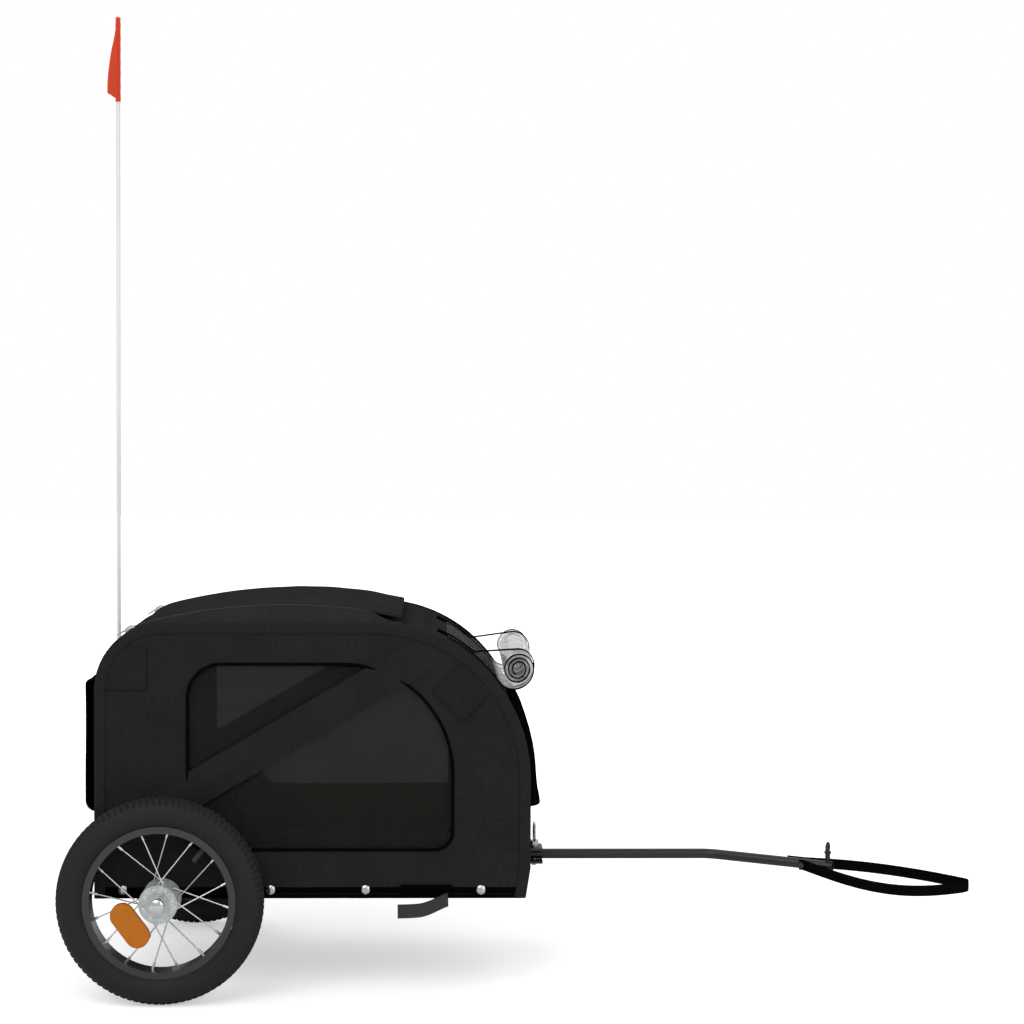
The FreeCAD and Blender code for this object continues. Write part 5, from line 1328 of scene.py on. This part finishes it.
def cover_stitches(c):
    """Stitch rows on the side panels: along the binding, the sleeve, the hem, the window and the patches."""
    track = cabin_track()
    run = np.linspace(BINDING_ROW_END, track.length - BINDING_ROW_END, BINDING_ROW_STEPS)
    rows = [(track.at(run) + track.side(run) * inset, BINDING_THREAD) for inset in BINDING_ROWS]
    points, _ = sleeve_grid(SLEEVE_LINE)
    rows += [(points[:, column], SLEEVE_THREAD) for column in SLEEVE_ROWS]
    x = np.linspace(c.rear + HEM_ROW_ENDS[0], c.front - HEM_ROW_ENDS[1], HEM_ROW_STEPS)
    rows.append((np.stack([x, np.full(len(x), c.bottom + HEM_ROW)], -1), HEM_THREAD))
    ring = window_outline(WINDOW_ROW)
    rows.append((np.concatenate([ring, ring[:1]]), WINDOW_THREAD))
    for grid in patch_grids(c):
        inner = grid[PATCH_ROW:-PATCH_ROW, PATCH_ROW:-PATCH_ROW]
        rows += [(line, PATCH_THREAD) for line in (inner[0], inner[-1], inner[:, 0], inner[:, -1])]
    for side, way in SIDES:
        mould = Mould()
        for line, stand in rows:
            stitches(mould, upright(line, way * (c.half_width + stand)), (0.0, way, 0.0))
        mould.cover(side + " panel stitches", "thread")


# Wheels

TYRE_RADIUS = 127.5
TYRE_SECTION = 22.5
TYRE_WALL = 3.5
TYRE_BEAD = 110.3
TYRE_OUTER, TYRE_INNER, BLOCK_STEPS = 61, 15, 8
BLOCK_STEP, BLOCK_LEAN, GROOVE_SHARE = 0.5, 0.35, 0.16
MIDDLE_GROOVE, SIDE_GROOVE = (1.2, 1.2), (10.2, 1.0)
CROWN_EDGE, CROWN_FADE = 17, 5
WALL_START, WALL_PITCH, WALL_RING, WALL_DEPTH = 26, 6, 0.8, 0.25
LENS_ANGLE, LENS_ORBIT = 217.0, 50
LENS_HALF = (34, 16)
LENS_CORNER = 15.8
LENS_CELLS, LENS_STEP = 70, 1.2
LENS_STAND, LENS_RIB, LENS_RIM, LENS_SUNK = 0.5, 0.9, 0.9, 0.2


def tyre_points(w, way):
    """Tyre: its section is an open ring turned about the axle. A square-edged wave round the wheel cuts leaning
    grooves across the crown, which step over at its middle, and three more run round it; fine rings mark the walls."""
    last = math.acos((TYRE_BEAD - TYRE_RADIUS) / TYRE_SECTION)
    inner_last = math.acos((TYRE_BEAD - TYRE_RADIUS) / (TYRE_SECTION - TYRE_WALL))
    outer = np.linspace(-last, last, TYRE_OUTER)
    inner = np.linspace(inner_last, -inner_last, TYRE_INNER)
    turns = np.linspace(0, 2 * np.pi, w.tread_blocks * BLOCK_STEPS, endpoint=False)[:, None]
    block = turns * w.tread_blocks / (2 * np.pi) + BLOCK_STEP * (outer > 0) + BLOCK_LEAN * np.abs(outer)
    grooved = np.abs((block % 1) - 0.5) < GROOVE_SHARE
    wide = TYRE_SECTION * np.abs(outer)
    for place, half in (MIDDLE_GROOVE, SIDE_GROOVE):
        grooved = grooved | (np.abs(wide - place) < half)
    cut = w.tread_depth * np.where(grooved, 1.0, 0.0) * (1 - smooth_step((wide - CROWN_EDGE) / CROWN_FADE))
    ring = np.abs(((wide - WALL_START) % WALL_PITCH) - WALL_PITCH / 2) < WALL_RING
    deep = TYRE_SECTION - cut - WALL_DEPTH * ring * (wide > WALL_START)
    thin = np.full((deep.shape[0], len(inner)), TYRE_SECTION - TYRE_WALL)
    angle = np.r_[outer, inner]
    size = np.concatenate([deep, thin], 1)
    radius = TYRE_RADIUS + size * np.cos(angle)
    y = way * (WHEEL_Y + size * np.sin(angle))
    return np.stack([radius * np.cos(turns), y, AXLE_Z + radius * np.sin(turns)], -1)


def tyres(w):
    """Both tyres."""
    for side, way in SIDES:
        Mould().grid(tyre_points(w, way), wrap=(True, True)).piece(
            side + " tyre", "tyre", side + "_wheel", "tyre_rubber", replaces=(side + "_tyre",), crease=30)


def reflector_lenses(w):
    """Lens on each reflector: a plate with round ends, its face cut into ribs both ways by two zigzag waves."""
    long, wide = LENS_HALF
    outline = rounded([(a * long, b * wide, LENS_CORNER) for a, b in ((-1, -1), (1, -1), (1, 1), (-1, 1))], LENS_STEP)
    flat, share = filled(outline, np.array([0.0, 0.0]), LENS_CELLS)
    zig = np.abs((flat / w.lens_ribs) % 1 - 0.5).sum(-1)
    plane = turned(flat, LENS_ANGLE + 90, polar((0, AXLE_Z), LENS_ORBIT, LENS_ANGLE))
    for side, way in SIDES:
        low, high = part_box(side + "_reflector")
        face = (high.y if way > 0 else -low.y) / MM
        space = upright(plane, way * (face + LENS_STAND + LENS_RIB * zig * (share < LENS_RIM)))
        back = upright(plane, way * (face - LENS_SUNK))
        Mould().sheet(space, space - back, 1.0, flat).piece(
            side + " reflector lens", "lens", side + "_wheel", "reflector_orange", crease=20)


# Towing

BAR_CORNER = (849.0, 150.0)
BAR_ANGLE = -27.5
BAR_END = 207.0
BAR_Z = 133.5
STRAP_MIDDLE = 70.0
STRAP_BULGE = 34.8
STRAP_AFT, STRAP_FORE = 137.4, 165.6
STRAP_HUG = 9.8
STRAP_TURN = 9.0
STRAP_NEAR, STRAP_FAR = -52.0, -77.0
STRAP_RIVET = -47.0
STRAP_FAR_STEPS, STRAP_NEAR_STEPS, STRAP_FOLD_STEP = 160, 150, 0.5
SAG_POWER, SAG_ASIDE, SAG_FAR = 1.25, 12, -0.1
WEBBING = 2.4
WEBBING_RIB, WEBBING_RIB_HEIGHT, WEBBING_THIN = 4.0, 0.16, 0.3
WEBBING_EDGE, WEBBING_EDGE_POWER, WEBBING_ROWS = 0.5, 6, 17
TAIL_WIDTH = 20.0
TAIL_CENTRE, TAIL_RADIUS, TAIL_ANGLES = (342.0, -130.0), 96.0, (-90, -40.5)
TAIL_RISE, TAIL_RISE_START = 9.0, 0.35
# Place of the black tab on the panel's foot, which also paints the strap's shade there.
TAB_X, TAB_Z = (346, 421), (145, 164)
TAB_Y, TAB_CLOTH, TAB_CELLS = 193.6, 1.6, (40, 12)


def strap_path(t):
    """Plan of the strap and its drop: one bowed leg forward, a round fold at the tip, and the other leg back. Each
    leg bows by a square of the distance from its widest place, and the near one hangs lower."""

    def bow(along):
        half = np.where(along < STRAP_MIDDLE, STRAP_AFT, STRAP_FORE)
        return np.maximum(STRAP_BULGE * (1 - ((along - STRAP_MIDDLE) / half) ** 2), STRAP_HUG)

    tip = t.reach - STRAP_TURN
    lean = math.atan(2 * STRAP_BULGE * (tip - STRAP_MIDDLE) / STRAP_FORE ** 2)
    radius = float(bow(np.array(tip))) / math.cos(lean)
    swing = 90 - math.degrees(lean)
    fold = arc((tip - radius * math.sin(lean), 0), radius, swing, -swing, STRAP_FOLD_STEP)
    far_run = np.linspace(STRAP_FAR, tip, STRAP_FAR_STEPS)
    near_run = np.linspace(tip, STRAP_NEAR, STRAP_NEAR_STEPS)
    far = np.stack([far_run, bow(far_run)], -1)
    near = np.stack([near_run, -bow(near_run)], -1)
    plan = np.concatenate([far, fold[1:-1], near])
    place = turned(plan + np.array([BAR_END, 0]), BAR_ANGLE, BAR_CORNER)
    share = np.clip((plan[:, 0] - STRAP_RIVET) / (t.reach - STRAP_RIVET), 0, 1)
    even = t.droop * np.sin(np.pi / 2 * share)
    sag = t.sag * np.sin(np.pi * share ** SAG_POWER) * np.clip(-plan[:, 1] / SAG_ASIDE, SAG_FAR, 1)
    return Track(place), even + sag


def webbing_piece(name, track, drop, level_z, width, finish, body):
    """Webbing on edge along a plan: its faces are ribbed along its length, and it hangs by a drop."""
    flat = lattice(track.marks, np.linspace(-width / 2, width / 2, WEBBING_ROWS))
    rib = WEBBING_RIB_HEIGHT * np.cos(2 * np.pi * flat[..., 1] / WEBBING_RIB)
    thin = WEBBING_EDGE * np.abs(2 * flat[..., 1] / width) ** WEBBING_EDGE_POWER
    plane, normal = carried(track, flat, WEBBING / 2 + rib - thin)
    z = level_z - drop[:, None] + flat[..., 1]
    Mould().sheet(level(plane, z), level(normal, np.zeros(z.shape)), WEBBING - WEBBING_THIN, flat).piece(
        name, finish, body, "webbing_black", replaces=(name,), soft="hung")


def safety_strap(t):
    """Safety strap: webbing on edge from both sides of the bar, bowed out and folded at its tip."""
    track, drop = strap_path(t)
    webbing_piece("safety_strap", track, drop, BAR_Z, t.width, "webbing", "tow_bar")


def webbing_tail():
    """Webbing tail under the right side: an arc in plan, on edge, that comes up to a black tab on the panel's foot.
    The tab also stands in for the shade under the strap: painted shade.
    """
    low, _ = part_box("webbing_tail")
    track = Track(arc(TAIL_CENTRE, TAIL_RADIUS, *TAIL_ANGLES))
    rise = TAIL_RISE * smooth_step((track.marks / track.length - TAIL_RISE_START) / (1 - TAIL_RISE_START))
    # The tail's light grey finish is painted satin sheen.
    webbing_piece("webbing_tail", track, -rise, low.z / MM + TAIL_WIDTH / 2, TAIL_WIDTH, "tail", "chassis")
    # The black tab is partly painted shade under the strap.
    points = lattice(np.linspace(*TAB_X, TAB_CELLS[0]), np.linspace(*TAB_Z, TAB_CELLS[1]))
    side_sheet(-1, points, TAB_Y, TAB_CLOTH).cover("webbing tab", "flap", "stretched", slot="webbing_black")


# Flag and mat

POLE = (-122.0, 170.0)
POLE_RADIUS = 3.25
PENNANT = (1362.0, 1499.0)
PENNANT_REACH = 98.0
PENNANT_TIP = 18.0
PENNANT_TOP = 10.0
PENNANT_CLOTH = 0.8
PENNANT_CELLS = (70, 60)
PENNANT_SWAY, PENNANT_SWAY_RUN = 1.6, 95
PENNANT_UNEVEN, PENNANT_WAVE, PENNANT_SEED, PENNANT_CALM = 1.2, 45.0, 61, 25
TUBE_SKIN, TUBE_PUCKER, TUBE_PUCKER_RUN = 0.9, 0.15, 3.1
TUBE_FOOT, TUBE_CAP, TUBE_CAP_DROP = 0.05, (1.2, 0.02), 0.5
TUBE_SIDES, TUBE_LEVELS = 24, 60
QUILT_SQUARE, QUILT_RISE, QUILT_POWER, QUILT_EDGE = 58.0, 1.0, 0.5, 8
MAT_THICK, MAT_GAP, MAT_CELLS = 2.0, 0.05, (200, 140)


def pennant_sheet():
    """Pennant cloth: a triangle that points towards the trailer's near side, cut from a narrow top down to a point,
    with a slight S and soft ripples."""
    low, high = PENNANT
    run = np.linspace(0, PENNANT_REACH - POLE_RADIUS, PENNANT_CELLS[0])
    share = np.clip((run + POLE_RADIUS - PENNANT_TOP) / (PENNANT_REACH - PENNANT_TOP), 0, 1)
    top = high - share * (high - low - PENNANT_TIP)
    z = low + np.linspace(0, 1, PENNANT_CELLS[1]) * (top - low)[:, None]
    along = np.broadcast_to(run[:, None], z.shape)
    wave = PENNANT_UNEVEN * ripple(along, z, PENNANT_WAVE, PENNANT_SEED) * smooth_step(along / PENNANT_CALM)
    sway = PENNANT_SWAY * np.sin(2 * np.pi * along / PENNANT_SWAY_RUN) + wave
    space = np.stack([POLE[0] + sway, POLE[1] - POLE_RADIUS - along, z], -1)
    return space, np.array([1.0, 0.0, 0.0]), PENNANT_CLOTH, np.stack([along, z - low], -1)


def pennant():
    """Pennant with its sleeve: a tube of cloth closed at the top over the pole, and the sheet that hangs from it."""
    turns = np.linspace(0, 2 * np.pi, TUBE_SIDES, endpoint=False)
    low, high = PENNANT
    rows = [(POLE_RADIUS + TUBE_FOOT, low)]
    rows += [(POLE_RADIUS + TUBE_SKIN + TUBE_PUCKER * math.sin(z / TUBE_PUCKER_RUN), z)
             for z in np.linspace(low, high - TUBE_CAP_DROP, TUBE_LEVELS)]
    rows += [(radius, high) for radius in TUBE_CAP]
    radius, z = (np.array(values)[:, None] for values in zip(*rows))
    x = POLE[0] + radius * np.cos(turns)
    y = POLE[1] + radius * np.sin(turns)
    mould = Mould().grid(np.stack([x, y, np.broadcast_to(z, x.shape)], -1), wrap=(False, True), caps=True)
    sleeve = mould.piece("pennant sleeve", "pennant", "flag", "pennant_red")
    Mould().sheet(*pennant_sheet()).piece("pennant", "pennant", "flag", "pennant_red", replaces=("flag_pennant",),
                                          soft="hung", with_pieces=(sleeve,))


def floor_mat():
    """Floor mat: thin padding quilted in squares; each square rises as the root of the product of two sines."""
    low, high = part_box("floor_mat")
    x = np.linspace(low.x / MM - AXLE_X / MM, high.x / MM - AXLE_X / MM, MAT_CELLS[0])
    y = np.linspace(low.y / MM, high.y / MM, MAT_CELLS[1])
    flat = lattice(x, y)
    rise = QUILT_RISE * np.abs(np.prod(np.sin(np.pi * flat / QUILT_SQUARE), axis=-1)) ** QUILT_POWER
    edge = np.minimum.reduce([flat[..., 0] - x[0], x[-1] - flat[..., 0], flat[..., 1] - y[0], y[-1] - flat[..., 1]])
    thick = MAT_THICK + rise * smooth_step(edge / QUILT_EDGE)
    out = level(np.zeros(flat.shape), thick)
    mat = Mould().sheet(level(flat, low.z / MM + MAT_GAP + thick), out, 1.0, flat).piece(
        "floor mat", "quilt", "chassis", "board", replaces=("floor_mat",))


# Operators

class TRAILER_OT_panels(bpy.types.Operator):
    """Side panels with their sleeves, patches, nets, piping, bindings, hems, inner skirts and stitches"""
    bl_idname = "trailer.panels"
    bl_label = "Side panels"

    def execute(self, context):
        """Build the pieces of both sides."""
        c = context.scene.trailer_cover
        for make in (side_panels, sleeves, patches, window_nets, window_piping, bindings, hems, inner_skirts,
                     cover_stitches):
            make(c)
        return {"FINISHED"}


class TRAILER_OT_shells(bpy.types.Operator):
    """Rear wall, roof and front wall with their seams"""
    bl_idname = "trailer.shells"
    bl_label = "Walls and roof"

    def execute(self, context):
        """Build the walls."""
        shells(context.scene.trailer_cover)
        return {"FINISHED"}


class TRAILER_OT_flaps(bpy.types.Operator):
    """Roof, front and rear flaps with their zips and sliders"""
    bl_idname = "trailer.flaps"
    bl_label = "Flaps and zips"

    def execute(self, context):
        """Build the flaps and zips."""
        c = context.scene.trailer_cover
        for make in (roof_flap, front_flap, rear_flap, zips, zip_sliders):
            make(c)
        return {"FINISHED"}


class TRAILER_OT_roll(bpy.types.Operator):
    """Rolled rain cover and the straps that hold it"""
    bl_idname = "trailer.roll"
    bl_label = "Rolled cover"

    def execute(self, context):
        """Build the roll."""
        rolled_cover(context.scene.trailer_cover)
        roll_straps(context.scene.trailer_cover)
        return {"FINISHED"}


class TRAILER_OT_wheels(bpy.types.Operator):
    """Tyres with tread and the ribbed reflector lenses"""
    bl_idname = "trailer.wheels"
    bl_label = "Tyres and lenses"

    def execute(self, context):
        """Build the wheel pieces."""
        tyres(context.scene.trailer_wheel)
        reflector_lenses(context.scene.trailer_wheel)
        return {"FINISHED"}


class TRAILER_OT_webbing(bpy.types.Operator):
    """Safety strap, and the webbing tail with its tab"""
    bl_idname = "trailer.webbing"
    bl_label = "Webbing"

    def execute(self, context):
        """Build the webbing."""
        safety_strap(context.scene.trailer_tow)
        webbing_tail()
        return {"FINISHED"}


class TRAILER_OT_flag(bpy.types.Operator):
    """Pennant with its sleeve"""
    bl_idname = "trailer.flag"
    bl_label = "Pennant"

    def execute(self, context):
        """Build the pennant."""
        pennant()
        return {"FINISHED"}


class TRAILER_OT_mat(bpy.types.Operator):
    """Quilted floor mat"""
    bl_idname = "trailer.mat"
    bl_label = "Floor mat"

    def execute(self, context):
        """Build the mat."""
        floor_mat()
        return {"FINISHED"}


class TRAILER_OT_finishes(bpy.types.Operator):
    """Finishes of the frame, wheels, bar and other hard pieces"""
    bl_idname = "trailer.finishes"
    bl_label = "Hard finishes"

    def execute(self, context):
        """Give every CAD node that stays its finish."""
        for finish, names in CAD_FINISHES.items():
            for name in names:
                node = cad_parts[name]
                node.data.materials.clear()
                node.data.materials.append(Finishes.get(finish))
        return {"FINISHED"}


# Studio

CAMERA_PLACE = (0.3797, -2.9791, 0.8335)
CAMERA_YAW = 0.969
CAMERA_PITCH = 1.51
CAMERA_ROLL = -0.181
CAMERA_SHIFT = (0.0535, -0.0336)
SENSOR = 36.0
IMAGE = 1024.0
FLOOR_X, FLOOR_Y = (-12, 12), (-9, 15)
FLOOR_DARK, FLOOR_LIGHT = (0.86, 0.86, 0.86), (0.88, 0.88, 0.88)
FLOOR_GRAIN = (30.0, 3.0)
GLOW_MIDDLE = (AXLE_X + 0.3, 0.0, 0.0)
GLOW, GLOW_REACH = (0.46, 1.0), (0.9, 2.2)
LIGHT_AIM = Vector((AXLE_X + 0.25, 0, 0.35))
LIGHTS = (("Key", "key", (-0.9, -2.4, 3.0), 2.4), ("Fill", "fill", (2.4, -2.2, 1.6), 2.0),
          ("Rim", "fill", (0.4, 2.2, 2.6), 2.2))
WHITE = (1, 1, 1, 1)


def camera_matrix():
    """Place and turn of the camera, from its yaw to the right, its pitch down and its roll."""
    yaw, pitch, roll = (math.radians(value) for value in (CAMERA_YAW, CAMERA_PITCH, CAMERA_ROLL))
    right = Vector((math.cos(yaw), -math.sin(yaw), 0))
    ahead = Vector((math.sin(yaw), math.cos(yaw), 0))
    forward = ahead * math.cos(pitch) - Vector((0, 0, math.sin(pitch)))
    up = ahead * math.sin(pitch) + Vector((0, 0, math.cos(pitch)))
    image_right = right * math.cos(roll) - up * math.sin(roll)
    image_up = right * math.sin(roll) + up * math.cos(roll)
    matrix = Matrix((image_right, image_up, -forward)).transposed().to_4x4()
    return Matrix.Translation(Vector(CAMERA_PLACE) + Vector((AXLE_X, 0, 0))) @ matrix


class TRAILER_OT_stage(bpy.types.Operator):
    """Pale floor, soft lights, white background and the camera of the photo"""
    bl_idname = "trailer.stage"
    bl_label = "Studio"

    def execute(self, context):
        """Build the studio."""
        s = context.scene.trailer_stage
        scene = context.scene
        lens = bpy.data.cameras.new("Camera")
        lens.sensor_width = SENSOR
        lens.lens = s.focal_px / IMAGE * SENSOR
        lens.shift_x, lens.shift_y = CAMERA_SHIFT
        camera = bpy.data.objects.new("Camera", lens)
        camera.matrix_world = camera_matrix()
        scene.collection.objects.link(camera)
        scene.camera = camera
        self.floor(scene)
        for name, power, (x, y, z), size in LIGHTS:
            self.light(scene, name, getattr(s, power), (AXLE_X + x, y, z), size)
        self.sky(scene, s.sky)
        scene.view_settings.view_transform = "Standard"
        return {"FINISHED"}

    def floor(self, scene):
        """Wide pale floor whose colour blends into the background."""
        mesh = bpy.data.meshes.new("Floor")
        corners = [(FLOOR_X[a], FLOOR_Y[b], 0) for a, b in ((0, 0), (1, 0), (1, 1), (0, 1))]
        mesh.from_pydata(corners, [], [(0, 1, 2, 3)])
        material, tree, shader = fresh("Floor paper")
        place = put(tree, "ShaderNodeTexCoord").outputs["Object"]
        seen = put(tree, "ShaderNodeLightPath").outputs["Is Camera Ray"]
        away = vectors(tree, "DISTANCE", place, GLOW_MIDDLE, "Value")
        wire(tree, shader, {
            "Base Color": blend(tree, noise(tree, place, *FLOOR_GRAIN), FLOOR_DARK, FLOOR_LIGHT),
            "Roughness": 0.95,
            "Specular IOR Level": 0.0,
            "Emission Color": WHITE,
            "Emission Strength": sums(tree, "MULTIPLY", seen, ranged(tree, away, *GLOW, *GLOW_REACH)),
        })
        mesh.materials.append(material)
        floor = bpy.data.objects.new("Floor", mesh)
        scene.collection.objects.link(floor)

    def light(self, scene, name, power, place, size):
        """Square soft light aimed at the trailer's middle."""
        data = bpy.data.lights.new(name, "AREA")
        data.energy, data.size = power, size
        lamp = bpy.data.objects.new(name, data)
        lamp.location = place
        lamp.rotation_euler = (LIGHT_AIM - lamp.location).to_track_quat("-Z", "Y").to_euler()
        scene.collection.objects.link(lamp)

    def sky(self, scene, strength):
        """Even light, and pure white where the camera or a clear sheet sees past the floor."""
        world = bpy.data.worlds.new("Studio")
        world.use_nodes = True
        scene.world = world
        tree = world.node_tree
        path = put(tree, "ShaderNodeLightPath").outputs
        direct = sums(tree, "MAXIMUM", path["Is Camera Ray"], path["Is Transmission Ray"])
        bright = ranged(tree, direct, strength, 1.0, 0.0, 1.0)
        wire(tree, tree.nodes["Background"], {"Color": WHITE, "Strength": bright})


# Panel and registration

class TRAILER_PT_side(bpy.types.Panel):
    """Lists the trailer's operators and settings"""
    bl_label = "Dog bike trailer"
    bl_idname = "TRAILER_PT_side"
    bl_space_type = "VIEW_3D"
    bl_region_type = "UI"
    bl_category = "Trailer"

    def draw(self, context):
        """Show a button per operator and the settings under them."""
        for operator in OPERATORS:
            self.layout.operator(operator.bl_idname)
        for name, group_class in SETTINGS:
            box = self.layout.box()
            for key in group_class.__annotations__:
                box.prop(getattr(context.scene, name), key)


OPERATORS = (TRAILER_OT_panels, TRAILER_OT_shells, TRAILER_OT_flaps, TRAILER_OT_roll, TRAILER_OT_wheels,
             TRAILER_OT_webbing, TRAILER_OT_flag, TRAILER_OT_mat, TRAILER_OT_finishes, TRAILER_OT_stage)
SETTINGS = (("trailer_cover", CoverSettings), ("trailer_wheel", WheelSettings), ("trailer_tow", TowSettings),
            ("trailer_colours", ColourSettings), ("trailer_stage", StageSettings))


def register():
    """Register the settings, operators and panel."""
    for name, group_class in SETTINGS:
        bpy.utils.register_class(group_class)
        setattr(bpy.types.Scene, name, PointerProperty(type=group_class))
    for item in OPERATORS + (TRAILER_PT_side,):
        bpy.utils.register_class(item)


def unregister():
    """Take back what register did."""
    for item in reversed(OPERATORS + (TRAILER_PT_side,)):
        bpy.utils.unregister_class(item)
    for name, group_class in reversed(SETTINGS):
        delattr(bpy.types.Scene, name)
        bpy.utils.unregister_class(group_class)


def main():
    """Build everything in order."""
    register()
    for operator in OPERATORS:
        area, name = operator.bl_idname.split(".")
        getattr(getattr(bpy.ops, area), name)()


if __name__ == "__main__":
    main()
